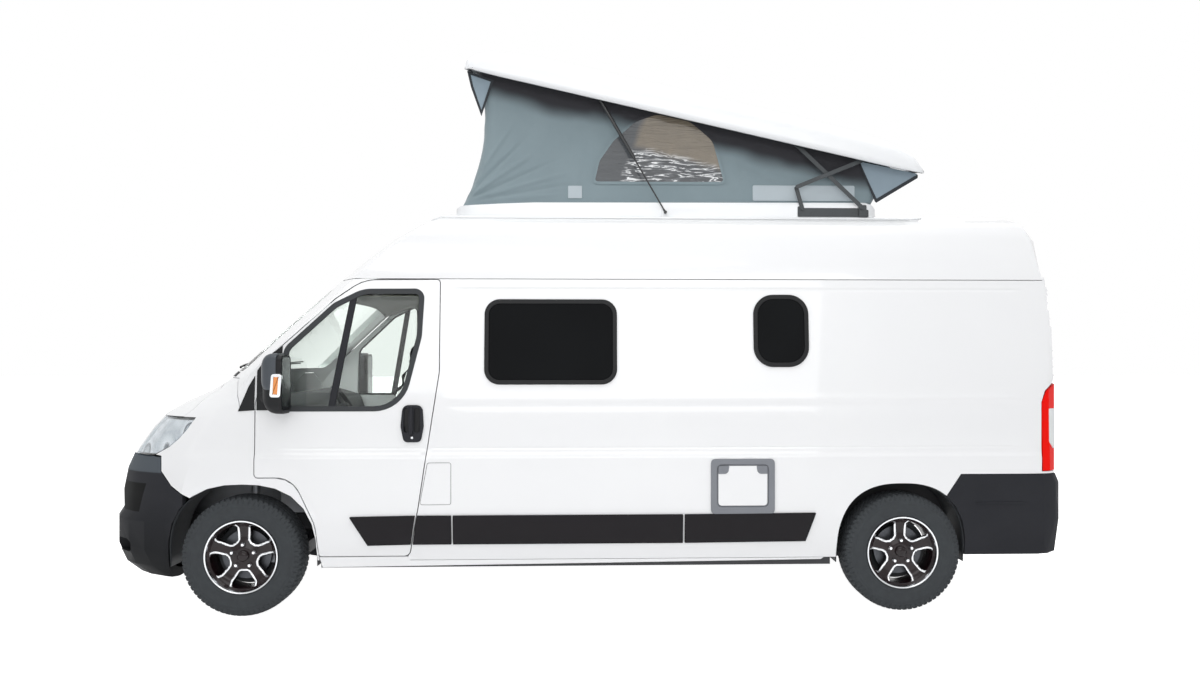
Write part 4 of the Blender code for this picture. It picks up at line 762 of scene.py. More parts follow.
locks = []
for x, turn in ((hatchLid["front"], 1), (hatchLid["rear"], -1)):
    top, button = hatchLid["top"], x + 0.030 * turn
    outline = roundedLine([(x, top, 0.004), (x, top - 0.049, 0.004), (x + 0.060 * turn, top - 0.049, 0.026),
                           (x + 0.067 * turn, top, 0.004)], 8)
    locks.append(slab(outline, -1.0375, -1.028))
    locks.append(bar([(button, -1.034, top - 0.022), (button, -1.0385, top - 0.022)], 0.0115, 24))
    locks.append(slab(rectangle(x + 0.022 * turn, x + 0.038 * turn, top - 0.024, top - 0.020), -1.0395, -1.037))
solidPiece("hatchLocks", joinShapes(locks), framePlastic, "service_hatch", 0.0012)
flankTrim("hatchSurround", -1, "body", framePlastic, rectangle(0.800, 1.178, 0.620, 0.942, 0.02), [], 0.004, 0.002)

splitLine = np.array([(2.826, 0.352), (2.834, 0.352), (2.840, 0.842), (2.832, 0.842)])
clearLine = roundedLine([(2.905, 1.251, 0.004), (2.950, 1.251, 0.0), (2.950, 1.005, 0.0), (2.943, 1.003, 0.004),
                         (2.905, 1.042, 0.020)], 6)
for sideName, side in bothSides:
    flankTrim("claddingSplit_" + sideName, side, "body", blackPlastic, splitLine, [], 0.003, 0.0015)
    flankTrim("claddingLine_" + sideName, side, "body", bumperPlastic, rectangle(2.437, 2.747, 0.664, 0.675, 0.004), [],
              0.006, 0.005, 0.0025)
    flankTrim("tailLampClear_" + sideName, side, "body", clearLens, clearLine, [], 0.012, 0.0065, 0.001, step=0.02)


# Side strips, sills, handles

strips = {"low": 0.434, "high": 0.612, "out": 0.013, "lean": -0.028, "ends": (-1.400, -1.292, 1.378, 1.440)}


def stripPiece(x0, x1, lean0=0.0, lean1=0.0, tip=""):
    low, high = strips["low"], strips["high"]
    start = [(x0 + lean0, low), (x0, high)] if tip != "front" else [(strips["ends"][1], low - 0.005),
                                                                   (strips["ends"][0], high - 0.006)]
    end = [(x1, high), (x1 + lean1, low)] if tip != "rear" else [(strips["ends"][3], high + 0.005),
                                                               (strips["ends"][2], low + 0.006)]
    return roundedLine([(x, z, 0.004) for x, z in start + end], 3)


sillLine = [(-1.570, 0.293), (1.480, 0.322), (1.500, 0.334), (-1.040, 0.334), (-1.045, 0.357), (-1.590, 0.357)]
for (sideName, side), (frontEnd, middleStart, middleEnd, rearStart) in zip(
        bothSides, ((-0.787, -0.778, 0.622, 0.632), (-0.842, -0.822, 0.472, 0.492))):
    for part, x0, x1, lean0, lean1, tip in (
            ("door", 0, -1.005, 0, strips["lean"], "front"), ("front", -0.993, frontEnd, strips["lean"], 0, ""),
            ("middle", middleStart, middleEnd, 0, 0, ""), ("rear", rearStart, 0, 0, 0, "rear")):
        flankTrim("sideStrip_%s_%s" % (part, sideName), side, "cab_door_" + sideName if part == "door" else "body",
                  stripPlastic, stripPiece(x0, x1, lean0, lean1, tip), [], 0.014, strips["out"], 0.004,
                  rows=np.arange(0.42, 0.62, 0.03))
    solidPiece("sillPanel_" + sideName, slab(sillLine, *sorted((side * 0.900, side * 0.984))), paint, "body", 0.004)

# Door handles: a grey escutcheon with two hollows, an upright grip between them and a lock below

handle = {"ring": ((-0.050, 1.055, 0.030), (0.052, 1.055, 0.030), (0.070, 1.150, 0.080), (0.062, 1.281, 0.040),
                   (-0.058, 1.281, 0.040), (-0.070, 1.150, 0.080)),
          "hollows": ((-0.050, -0.022), (0.012, 0.046)), "hollowZ": (1.115, 1.264), "lockZ": 1.083, "gripSteps": 25}


def doorHandle(label, side, x, lift, body):
    ring = roundedLine([(x + a, z + lift, r) for a, z, r in handle["ring"]], 8)
    z0, z1 = handle["hollowZ"]
    holes = [rectangle(x + a, x + b, z0 + lift, z1 + lift, 0.013) for a, b in handle["hollows"]]
    flankTrim("handleCup_" + label, side, body, blackPlastic, offsetLine(ring, -0.002), [], 0.004, 0.002, step=0.02)
    flankTrim("handlePlate_" + label, side, body, trimPlastic, ring, holes, 0.010, 0.012, 0.003, step=0.015,
              rows=np.arange(1.06, 1.28, 0.015) + lift)
    count = handle["gripSteps"]
    t = np.linspace(0, 1, count)
    z = z0 - 0.012 + (z1 - z0 + 0.020) * t + lift
    y = flankY(np.full(count, x), z) + 0.012 + 0.016 * np.sin(np.pi * t) ** 0.6
    grip = np.stack([np.full(count, x - 0.005), side * y, z], 1)
    solidPiece("handleGrip_" + label, bar(grip, 0.010 + 0.005 * np.sin(np.pi * t) ** 0.5, 14), trimPlastic, body)
    lock = turnedShape([(0.0, 0.004), (0.0055, 0.004), (0.0075, 0.002), (0.0075, -0.004), (0.0, -0.004)], 20)
    lockZ = handle["lockZ"] + lift
    place = (x, side * float(flankY(x, lockZ) + 0.0125), lockZ)
    solidPiece("handleLock_" + label, (lock[0] * (1, side, 1) + place, lock[1]), turnedAlloy, body)


for sideName, side in bothSides:
    doorHandle(sideName, side, -1.0245, 0.0, "cab_door_" + sideName)
doorHandle("sliding", 1, -0.715, -0.02, "body")

# The sliding door's rail cover along the right flank, a slot in a slim cover

flankTrim("railCover", 1, "body", paint, rectangle(0.505, 2.640, 1.236, 1.292, 0.012),
          [rectangle(0.530, 2.615, 1.256, 1.272, 0.007)], 0.006, 0.006, 0.002)
flankTrim("railSlot", 1, "body", blackPlastic, rectangle(0.520, 2.625, 1.250, 1.278, 0.007), [], 0.003, 0.001)


# Mirrors: a grey cap, lighter partly as painted highlight of the top light, over a black housing, on a black foot split
# by the door's shut line

mirror = {"x": (-1.874, -1.740), "y": (1.050, 1.254), "z": (1.235, 1.595), "split": 1.345, "rings": 14,
          "nose": (3.4, 2.6, 0.25),
          "lamp": ((-1.806, 1.339), (-1.745, 1.339), (-1.736, 1.474), (-1.796, 1.474)),
          "arm": ((-1.900, 1.010, 1.335), (-1.860, 1.040, 1.345), (-1.815, 1.090, 1.355), (-1.790, 1.140, 1.360)),
          "foot": ((-1.960, 1.250), (-1.960, 1.490), (-1.905, 1.575), (-1.812, 1.640), (-1.812, 1.250)),
          "triangle": ((-2.071, 1.244), (-2.012, 1.389), (-1.973, 1.458), (-1.973, 1.250))}


def mirrorShell(side, low, high, grow, front, back):
    # Rings of a rounded rectangle in (y, z) along x, scaled by (1 - (1 - s)^p)^(1/q) from the nose to the back
    outline = rectangle(*mirror["y"], low, high, 0.05, 10)
    middle = outline.mean(0)
    s = np.linspace(0, 1, mirror["rings"])
    p, q, tip = mirror["nose"]
    scale = np.clip(1 - (1 - s) ** p, 0, 1) ** (1 / q)
    scale[0] = tip
    x = front + (back - front) * s
    ring = middle + (outline - middle) * scale[:, None, None] * grow
    points = np.concatenate([np.broadcast_to(x[:, None, None], ring.shape[:2] + (1,)), ring], 2)
    points[:, :, 1] *= side
    count = len(outline)
    faces = gridFaces(len(s), count, False, True).tolist()
    faces += [list(range(count)), list(range((len(s) - 1) * count, len(s) * count))]
    return points.reshape(-1, 3), faces


for sideName, side in bothSides:
    door = "cab_door_" + sideName
    (x0, x1), (low, high) = mirror["x"], mirror["z"]
    arm = bar([(x, side * y, z) for x, y, z in mirror["arm"]], [0.050, 0.042, 0.036, 0.030], 14)
    solidPiece("mirrorHousing_" + sideName, joinShapes([
        mirrorShell(side, low, high - 0.006, 0.975, x0 + 0.006, x1), arm]), blackPlastic, door,
        replaced=["mirror_" + sideName])
    solidPiece("mirrorCap_" + sideName, mirrorShell(side, mirror["split"] + 0.010, high, 1.0, x0, x1 - 0.030),
               capPlastic, door)
    for label, y0, y1, grow, material in (("lampRim", 1.225, 1.2545, 0.0, chrome),
                                          ("lamp", 1.225, 1.2565, -0.017, amberLens)):
        plate = offsetLine(roundedLine([(x, z, 0.015) for x, z in mirror["lamp"]], 5), grow)
        solidPiece("mirror_%s_%s" % (label, sideName), slab(plate, *sorted((side * y0, side * y1))), material, door,
                   0.0015, slot="lamp_clear")
    glass = rectangle(1.075, 1.235, 1.260, 1.570, 0.03) * (side, 1)
    solidPiece("mirrorGlass_" + sideName, slab(glass, x1 - 0.002, x1 + 0.002, "yz"), mirrorSilver, door)
    flankTrim("mirrorFoot_" + sideName, side, door, blackPlastic, np.array(mirror["foot"]), [], 0.012, 0.006, 0.002)
    flankTrim("mirrorTriangle_" + sideName, side, "body", blackPlastic, np.array(mirror["triangle"]), [], 0.010, 0.006,
              0.002)
print("glass, strips, handles and mirrors made")


# Pieces laid on the tail and on the nose: their flat points are (y, z)

def endPanel(name, kept, holes, body, material, out=0.0, wall=0.01, edge=0.002, nose=False):
    def place(flat):
        y, z = flat[:, 0], flat[:, 1]
        x = noseX(y, z) - out if nose else tailX(y, z) + out
        return np.stack([x, y, z], 1)
    piece = finishPiece(name, flatPanel(name, [kept], holes, place, 0.03, flip=nose), material, body)
    addWall(piece, wall)
    return addBevel(piece, edge) if edge else piece


wiperSweep = {-1: (0.640, 0.120, 1.505, 1.535), 1: (0.060, 0.600, 1.500, 1.530)}
for sideName, side in bothSides:
    door = "rear_door_" + sideName
    window = roundedLine([(side * a, z, r) for a, z, r in ((0.775, 1.405, 0.06), (0.095, 1.405, 0.06),
                                                           (0.095, 1.965, 0.06), (0.735, 1.965, 0.10))], 8)
    endPanel("rearWindowRim_" + sideName, offsetLine(window, 0.010), [offsetLine(window, -0.026)], door, blackPlastic,
             0.002, 0.006)
    for k, z in enumerate((0.985, 1.330, 2.050)):
        plate = rectangle(side * 0.835 - 0.045, side * 0.835 + 0.045, z - 0.028, z + 0.028, 0.012)
        endPanel("rearHinge_%d_%s" % (k, sideName), plate, [], door, paint, 0.012, 0.014, 0.004)
    fog = rectangle(side * 0.745 - 0.060, side * 0.745 + 0.060, 0.470, 0.520, 0.012)
    endPanel("rearReflector_" + sideName, fog, [], "body", redLens, 0.001, 0.006)
    t = np.linspace(0, 1, 22)
    y0, y1, z0, z1 = wiperSweep[side]
    y, z = side * (y0 + (y1 - y0) * t), z0 + (z1 - z0) * np.sin(t * np.pi / 2)
    arm = np.stack([noseX(y, z) - 0.014 - 0.012 * np.sin(np.pi * t), y, z], 1)
    blade = np.stack([noseX(y, z + 0.012) - 0.008, y, z + 0.012], 1)[6:]
    solidPiece("wiper_" + sideName, joinShapes([bar(arm, 0.0075 - 0.003 * t, 8), bar(blade, 0.005, 8)]), blackPlastic,
               "body")
for name, kept, holes, body, material, out, wall, edge in (
        ("rearHandle", rectangle(0.040, 0.115, 1.080, 1.250, 0.015, 6), [rectangle(0.054, 0.101, 1.110, 1.236, 0.012)],
         "rear_door_right", trimPlastic, 0.012, 0.012, 0.002),
        ("rearHandleCup", rectangle(0.046, 0.109, 1.086, 1.244, 0.012), [], "rear_door_right", blackPlastic, 0.001,
         0.003, 0.0),
        ("plateFrame", rectangle(-0.680, -0.140, 1.020, 1.150, 0.010),
         [rectangle(-0.668, -0.152, 1.032, 1.138, 0.006)], "rear_door_left", blackPlastic, 0.008, 0.008, 0.002),
        ("plateBlank", rectangle(-0.669, -0.151, 1.031, 1.139, 0.006), [], "rear_door_left", framePlastic, 0.004, 0.003,
         0.0),
        ("highStopLamp", rectangle(-0.170, 0.170, 2.285, 2.315, 0.012), [], "body", redLens, 0.004, 0.006, 0.002)):
    endPanel(name, kept, holes, body, material, out, wall, edge)
endPanel("cowlPanel", np.array([(-0.80, 1.452), (0.80, 1.452), (0.80, 1.480), (-0.80, 1.480)]), [], "body",
         blackPlastic, 0.002, 0.004, 0.0, nose=True)
print("front and rear details made")


# Wheels and tyres

tyre = {"blocks": 66, "stepsPerBlock": 6, "groove": 0.0085, "treadHalf": 0.0955, "crown": 0.0085, "shoulder": 0.66,
        "lug": 0.0055, "lugFrom": 0.322}
sideWall = np.array([(0.2135, 0.088), (0.222, 0.102), (0.230, 0.1055), (0.236, 0.1073), (0.240, 0.1082),
                     (0.248, 0.1098), (0.252, 0.1104), (0.257, 0.1112), (0.275, 0.1122), (0.292, 0.1122),
                     (0.298, 0.1120), (0.302, 0.1117), (0.307, 0.1112), (0.314, 0.1104), (0.320, 0.1094),
                     (0.326, 0.1082), (0.333, 0.1066), (0.340, 0.1035), (0.346, 0.1000)])


def tyreShape(side):
    # Radius by angle and width: a side wall profile, then a tread whose grooves are sunk where the block waves dip
    blocks = tyre["blocks"]
    steps = blocks * tyre["stepsPerBlock"]
    a = np.linspace(0, 2 * np.pi, steps, endpoint=False)[:, None]
    treadHalf = np.linspace(1, 0.02, 26)
    w = np.concatenate([treadHalf, -treadHalf[::-1]])
    y = tyre["treadHalf"] * w
    crown = tyreRadius - tyre["crown"] * np.abs(w) ** 5
    shoulder = np.abs(w) > tyre["shoulder"]
    lateral = np.cos(blocks * a + np.sign(w) * 1.4 + 5.0 * np.abs(w))
    lateralMiddle = np.cos(blocks * a + 9.0 * w)
    cutAcross = np.where(shoulder, smoothStep(0.55, 0.8, lateral), 0.75 * smoothStep(0.72, 0.9, lateralMiddle))
    ribs = np.max([np.exp(-((w - c) / 0.035) ** 4) for c in (-0.64, -0.22, 0.22, 0.64)], axis=0)
    depth = tyre["groove"] * np.maximum(cutAcross, np.broadcast_to(ribs, cutAcross.shape))
    r = crown - depth
    ringLines = sum(h * np.exp(-((sideWall[:, 0] - r) / w) ** 2) for r, h, w in (
        (0.236, 0.0020, 0.003), (0.252, 0.0012, 0.0025), (0.302, 0.0022, 0.003), (0.320, 0.0020, 0.003)))
    left = np.broadcast_to(sideWall[:, 0], (steps, len(sideWall)))
    lugs = smoothStep(0.5, 0.8, np.cos(blocks * a + 1.4 + 5.0))
    shoulderCut = np.where(sideWall[:, 0] > tyre["lugFrom"], tyre["lug"], 0.0) * lugs
    wallY = np.broadcast_to(sideWall[:, 1] + ringLines, (steps, len(sideWall))) - shoulderCut
    radius = np.concatenate([left, r, left[:, ::-1]], 1)
    across = np.concatenate([wallY, np.broadcast_to(y, r.shape), -wallY[:, ::-1]], 1)
    inner = np.array([[0.2125, -0.060], [0.2125, 0.060]])
    radius = np.concatenate([radius, np.broadcast_to(inner[:, 0], (steps, 2))], 1)
    across = np.concatenate([across, np.broadcast_to(inner[:, 1], (steps, 2))], 1)
    points = np.stack([radius * np.cos(a), -side * across, radius * np.sin(a)], -1)
    return points.reshape(-1, 3), gridFaces(steps, radius.shape[1], True, True)


wheel = {"window": ((0.096, -0.015), (0.104, -0.030), (0.160, -0.066), (0.176, -0.066), (0.190, -0.057),
                    (0.199, 0.000), (0.190, 0.057), (0.176, 0.066), (0.160, 0.066), (0.104, 0.030), (0.096, 0.015)),
         "line": 0.0145, "boltRing": 0.069, "spokes": 5, "face": 0.206}
# Each turned part of a wheel: name, profile of radius and offset, steps, material, slot where it isn't the material's
turnedParts = (
    ("wheelRim", ((0.2125, 0.108), (0.2205, 0.110), (0.2225, 0.106), (0.2125, 0.098), (0.2085, 0.094)), 96, turnedAlloy,
     None),
    ("wheelBarrel", ((0.2080, 0.0935), (0.196, 0.078), (0.192, -0.060), (0.200, -0.098), (0.2215, -0.106),
                     (0.2125, -0.092), (0.206, -0.06), (0.206, 0.080), (0.2095, 0.0925)), 96, wheelLacquer, None),
    ("brakeDisc", ((0.150, -0.004), (0.152, -0.016), (0.150, -0.028), (0.080, -0.028), (0.078, 0.020), (0.020, 0.022),
                   (0.020, 0.030), (0.086, 0.028), (0.088, -0.004)), 72, castIron, None),
    ("dustShield", ((0.012, -0.052), (0.120, -0.060), (0.186, -0.052), (0.187, -0.056), (0.120, -0.065),
                    (0.012, -0.058)), 60, sealRubber, "chassis_black"))
boltProfile = ((0.0, 0.082), (0.008, 0.081), (0.0125, 0.075), (0.0135, 0.060), (0.0, 0.060))
capProfile = ((0.0, 0.090), (0.014, 0.0895), (0.026, 0.086), (0.033, 0.078), (0.034, 0.060), (0.0, 0.060))


def wheelWindow(k, grow=0.0, outline=None):
    if outline is None:
        outline = offsetLine(roundedLine([(x, y, 0.012) for x, y in wheel["window"]], 4), grow)
    a = math.radians(-90 + 72 * k)
    return np.asarray(outline) @ np.array([[math.cos(a), math.sin(a)], [-math.sin(a), math.cos(a)]])


def faceDepth(r):
    # How far the wheel's face stands outwards of its middle: a shallow dish between the hub and the rim
    return 0.062 - 0.016 * np.sin(np.pi * np.clip((r - 0.05) / 0.15, 0, 1)) + 0.020 * smoothStep(0.17, 0.21, r)


def makeWheel(label, x, side):
    body = "wheel_" + label
    centre = np.array([x, side * trackHalf, tyreRadius])

    def placed(shape, shift=(0, 0, 0)):
        return shape[0] * (1, side, 1) + centre + shift, shape[1]

    def facePanel(name, kept, holes, out, material, wall, **more):
        def place(flat):
            r = np.linalg.norm(flat, axis=1)
            return np.stack([flat[:, 0] + x, side * (trackHalf + faceDepth(r) + out), flat[:, 1] + tyreRadius], 1)
        mesh = flatPanel(name, [kept], holes, place, 0.010, flip=side > 0)
        return addWall(finishPiece(name, mesh, material, body, **more), wall)

    points, faces = tyreShape(side)
    solidPiece("tyreTread_" + label, (points + centre, faces), tyreRubber, body, replaced=["tyre_" + label], sharp=50)
    spokes = range(wheel["spokes"])
    addBevel(facePanel("wheelFace_" + label, circle * wheel["face"], [wheelWindow(k) for k in spokes], 0.0,
                       wheelLacquer, 0.022, replaced=["wheel_" + label]), 0.0015)
    for k in spokes:
        # A bright line round each window, cut off where the rim begins
        beyond = wheelWindow(k, outline=[(0.187, -0.14), (0.300, -0.14), (0.300, 0.14), (0.187, 0.14)])
        facePanel("wheelLine_%d_%s" % (k, label), wheelWindow(k, wheel["line"]), [wheelWindow(k, 0.001), beyond],
                  0.0012, turnedAlloy, 0.003)
    for name, profile, steps, material, slot in turnedParts:
        solidPiece("%s_%s" % (name, label), placed(turnedShape(profile, steps)), material, body, slot=slot)
    turns = [math.radians(-54 + 72 * k) for k in spokes]
    nuts = [placed(turnedShape(boltProfile, 12), (wheel["boltRing"] * math.cos(a), 0, wheel["boltRing"] * math.sin(a)))
            for a in turns]
    solidPiece("wheelBolts_" + label, joinShapes(nuts), chrome, body)
    solidPiece("wheelCap_" + label, placed(turnedShape(capProfile, 40)), wheelLacquer, body)


circle = np.linspace(0, 2 * np.pi, 120, endpoint=False)
circle = np.stack([np.cos(circle), np.sin(circle)], 1)
for end, x in (("front", frontAxle), ("rear", rearAxle)):
    for sideName, side in bothSides:
        makeWheel("%s_%s" % (end, sideName), x, side)

for end, arch in (("front", frontArch), ("rear", rearArch)):
    for sideName, side in bothSides:
        name = "archLiner_%s_%s" % (end, sideName)
        outline = archLine(*arch, extra=-0.004, low=0.30, count=40)
        depth = np.linspace(0.700, 0.990, 8)
        skin = np.minimum(depth[:, None], flankY(outline[:, 0], np.maximum(outline[:, 1], 0.34))[None] - 0.012)
        points = np.stack([np.broadcast_to(outline[:, 0], skin.shape), side * skin,
                           np.broadcast_to(outline[:, 1], skin.shape)], -1)
        liner = makeMesh(name, points, gridFaces(*skin.shape))
        addWall(finishPiece(name, liner, sealRubber, "body"), 0.003, 0.0)
print("wheels made")


# The pop-up roof: shell, canvas, struts and links

pole, roofAngle = np.array([3.396, 2.076]), math.radians(12.52)
shell = {"front": -0.922, "length": 2.994, "half": 0.845, "edge": 2.451, "wall": 0.022}
shellLine = np.array([(0.000, 0.085, 0.060), (0.070, 0.140, 0.020), (0.360, 0.185, 0.000), (0.700, 0.196, 0.000),
                      (1.800, 0.196, 0.000), (2.480, 0.188, 0.000), (2.720, 0.170, 0.004), (2.915, 0.112, 0.020),
                      (2.994, 0.045, 0.050)])


def raised(points):
    # Turns closed-roof points about the far pole to where the roof stands raised
    c, s = math.cos(roofAngle), math.sin(roofAngle)
    dx, dz = points[..., 0] - pole[0], points[..., 2] - pole[1]
    return np.stack([pole[0] + dx * c + dz * s, points[..., 1], pole[1] - dx * s + dz * c], -1)


def roofClear(x, y):
    # Height of the van's roof skin with the clearance that the closed shell keeps over it
    crown = easeCurve(sideLine[::-1, 1], sideLine[::-1, 0], np.abs(y))
    front = easeCurve(noseLine[-6:, 1], noseLine[-6:, 0], x - curveAt(planCurve, np.abs(y), 2))
    return np.minimum(crown, front) + 0.030


def shellSurface():
    # Rows along the shell, columns across: an upright side, a rounded shoulder and a low crown, with both ends closed
    s = np.unique(np.concatenate([np.linspace(0, 0.36, 16), np.linspace(0.36, 2.48, 24), np.linspace(2.48, 2.994, 22)]))
    height = curveAt(shellLine, s)
    half = shell["half"] - curveAt(shellLine, s, 2)
    side = np.array([(0.0, 0.0, 0.0), (0.0, 0.2, 0.0), (0.0, 0.45, 0.0), (0.004, 0.62, 0.0), (0.012, 0.74, 0.0),
                     (0.024, 0.84, 0.0), (0.044, 0.915, 0.0), (0.075, 0.965, 0.0), (0.120, 1.0, 0.002)])
    y = half[:, None] - side[:, 0]
    z = height[:, None] * side[:, 1]
    t = np.linspace(1, 0, 15)[1:]
    yTop = y[:, -1:] * t
    zTop = z[:, -1:] + 0.032 * (1 - t ** 2)
    y, z = np.concatenate([y, yTop], 1), np.concatenate([z, zTop], 1)
    y = np.concatenate([-y, y[:, ::-1][:, 1:]], 1)
    z = np.concatenate([z, z[:, ::-1][:, 1:]], 1) + shell["edge"]
    x = np.broadcast_to((shell["front"] + s)[:, None], y.shape)
    # Near both ends the skin lifts so that its inner face clears the collar's flange with the roof closed
    z = np.maximum(z, roofClear(x, y) + np.where(np.abs(y) < (half - 0.10)[:, None], 0.027, -0.010))
    points = np.stack([x, y, z], -1)
    ends = []
    for row, nose in ((0, 1), (-1, -1)):
        ring = points[row]
        foot = np.minimum(np.maximum(shell["edge"], roofClear(ring[:, 0], ring[:, 1])), ring[:, 2])
        fall = np.linspace(0, 1, 7)[1:, None]
        z = ring[:, 2] * (1 - fall) + foot * fall
        drop = np.stack([np.broadcast_to(ring[:, 0], z.shape), np.broadcast_to(ring[:, 1], z.shape), z], -1)
        ends.append(drop[::-1] if nose > 0 else drop)
    return raised(np.concatenate([ends[0], points, ends[1]]))


skin = shellSurface()
shellMesh = makeMesh("roofShellSkin", skin, gridFaces(*skin.shape[:2]))
shellPiece = finishPiece("roofShellSkin", shellMesh, gelcoat, "roof_shell", weld=3e-4, sharp=55,
                         replaced=["roof_shell"])
addWall(shellPiece, shell["wall"], even=False)

s = np.linspace(0.012, shell["length"] - 0.012, 70)
rim = np.stack([shell["front"] + s, 0.012 - shell["half"] + curveAt(shellLine, s, 2)], 1)
rows = [np.stack([np.full(24, x), np.linspace(y, -y, 26)[1:-1]], 1) for x, y in (rim[-1], rim[0] * (1, -1))]
rim = np.concatenate([rim, rows[0], rim[::-1] * (1, -1), rows[1]])
rim = np.column_stack([rim, np.maximum(shell["edge"], roofClear(rim[:, 0], rim[:, 1]) - 0.002) - 0.002])
solidPiece("shellSeal", bar(raised(rim), 0.011, 10, close=True), sealRubber, "roof_shell")

canvas = {"half": 0.722, "corner": 0.09, "front": -0.775, "rear": 1.876, "foot": 2.548, "flat": (7.4, 0.86)}


def planRing(x0, x1, half, corner, count):
    # A rounded rectangle in plan as a ring of evenly spaced points, starting at the middle of the front
    line = rectangle(x0, x1, -half, half, corner, 10)
    line = densify(line, 0.01)
    line = np.roll(line, -int(np.argmin(np.abs(line[:, 0] - x0) + np.abs(line[:, 1]))), axis=0)
    length = np.concatenate([[0], np.cumsum(np.linalg.norm(np.diff(np.concatenate([line, line[:1]]), axis=0),
                                                           axis=1))])
    full = np.concatenate([line, line[:1]])
    u = np.linspace(0, length[-1], count, endpoint=False)
    return np.stack([np.interp(u, length, full[:, 0]), np.interp(u, length, full[:, 1])], 1)


def fold(x, z, x0, z0, x1, z1, width, depth):
    # A soft crease along a line from one point to another: a bell across it that fades at both ends
    d = np.array([x1 - x0, z1 - z0])
    length = np.linalg.norm(d)
    d /= length
    along = ((x - x0) * d[0] + (z - z0) * d[1]) / length
    across = (x - x0) * -d[1] + (z - z0) * d[0]
    return depth * np.exp(-(across / width) ** 2) * smoothStep(-0.05, 0.25, along) * (1 - smoothStep(0.7, 1.05, along))


folds = ((-0.78, 2.55, -0.42, 3.08, 0.011, 0.011), (-0.78, 2.55, -0.34, 2.98, 0.010, -0.010),
         (-0.78, 2.55, -0.26, 2.90, 0.011, 0.010), (-0.78, 2.55, -0.14, 2.84, 0.010, -0.009),
         (-0.78, 2.55, -0.05, 2.76, 0.010, 0.008), (-0.78, 2.55, 0.00, 2.69, 0.009, -0.007),
         (-0.77, 2.60, -0.56, 3.22, 0.012, -0.010), (-0.77, 2.56, -0.10, 2.61, 0.009, 0.006),
         (-0.30, 3.18, -0.36, 2.60, 0.030, -0.004), (0.02, 3.05, -0.05, 2.58, 0.026, 0.004),
         (0.95, 2.60, 1.30, 2.86, 0.020, 0.004), (1.00, 2.82, 1.45, 2.62, 0.018, -0.004),
         (0.98, 2.95, 1.02, 2.58, 0.024, 0.004), (1.50, 2.60, 1.80, 2.74, 0.016, 0.004))


def canvasOut(x, z):
    # How far the cloth stands off its flat plane: the folds above, slack between the fixings and small ripples
    out = sum(fold(x, z, *row) for row in folds)
    top = np.interp(x, [-0.70, 2.10], [3.36, 2.74])
    v = np.clip((z - 2.55) / np.maximum(top - 2.55, 0.05), 0, 1)
    out = out - 0.016 * np.sin(np.pi * v) * (0.6 + 0.4 * np.sin(2.1 * x + 0.6))
    out = out + 0.0022 * np.sin(34 * x + 5 * np.sin(3 * z)) * smoothStep(0.75, 1.0, v)
    out = out + 0.0016 * np.sin(21 * x - 13 * z) * np.sin(np.pi * v)
    return out * smoothStep(0.0, 0.06, v) * (1 - smoothStep(0.94, 1.0, v))


def canvasSurface(around=640, up=72):
    # Ring by ring from the collar to the shell: foot and head outlines joined, then the front wall drawn in
    foot = planRing(canvas["front"], canvas["rear"], canvas["half"], canvas["corner"], around)
    head = planRing(shell["front"] + 0.060, shell["front"] + 2.820, canvas["half"], canvas["corner"], around)
    headPoints = raised(np.stack([head[:, 0], head[:, 1], np.full(around, shell["edge"] + 0.030)], 1))
    footZ = canvas["foot"] - 0.025 * smoothStep(0.0, 1.0, (-0.45 - foot[:, 0]) / 0.35)
    footPoints = np.stack([foot[:, 0], foot[:, 1], footZ], 1)
    v = np.linspace(0, 1, up)[:, None, None]
    points = footPoints * (1 - v) + headPoints * v
    x, y, z = points[..., 0], points[..., 1], points[..., 2]
    front = smoothStep(-0.30, -0.78, x)
    share = v[..., 0]
    x = x + front * (0.085 * np.sin(np.pi * share) ** 0.8 + 0.03 * np.sin(np.pi * share) * share)
    flat = np.clip(np.abs(y) / canvas["half"], 0, 1) > 0.985
    out = canvasOut(x, z)
    y = y + np.where(flat, np.sign(y) * out, 0)
    x = x - np.where(flat, 0, np.sign(0.5 - x) * -0.4 * out)
    return np.stack([x, y, z], -1)


cloth = canvasSurface()
canvasPiece = solidPiece("canvasWall", (cloth, gridFaces(*cloth.shape[:2], False, True)), canvasCloth, "body",
                         replaced=["canvas"], sharp=80)

canvasWindow = roundedLine([(0.080, 2.690, 0.02), (0.112, 2.828, 0.10), (0.202, 2.957, 0.15), (0.343, 3.079, 0.12),
                            (0.484, 3.128, 0.10), (0.696, 3.082, 0.12), (0.844, 2.961, 0.12), (0.870, 2.872, 0.08),
                            (0.919, 2.692, 0.02)], 5)


def onCanvas(side, out):
    def place(flat):
        x, z = flat[:, 0], flat[:, 1]
        return np.stack([x, side * (canvas["half"] + canvasOut(x, z) + out), z], 1)
    return place


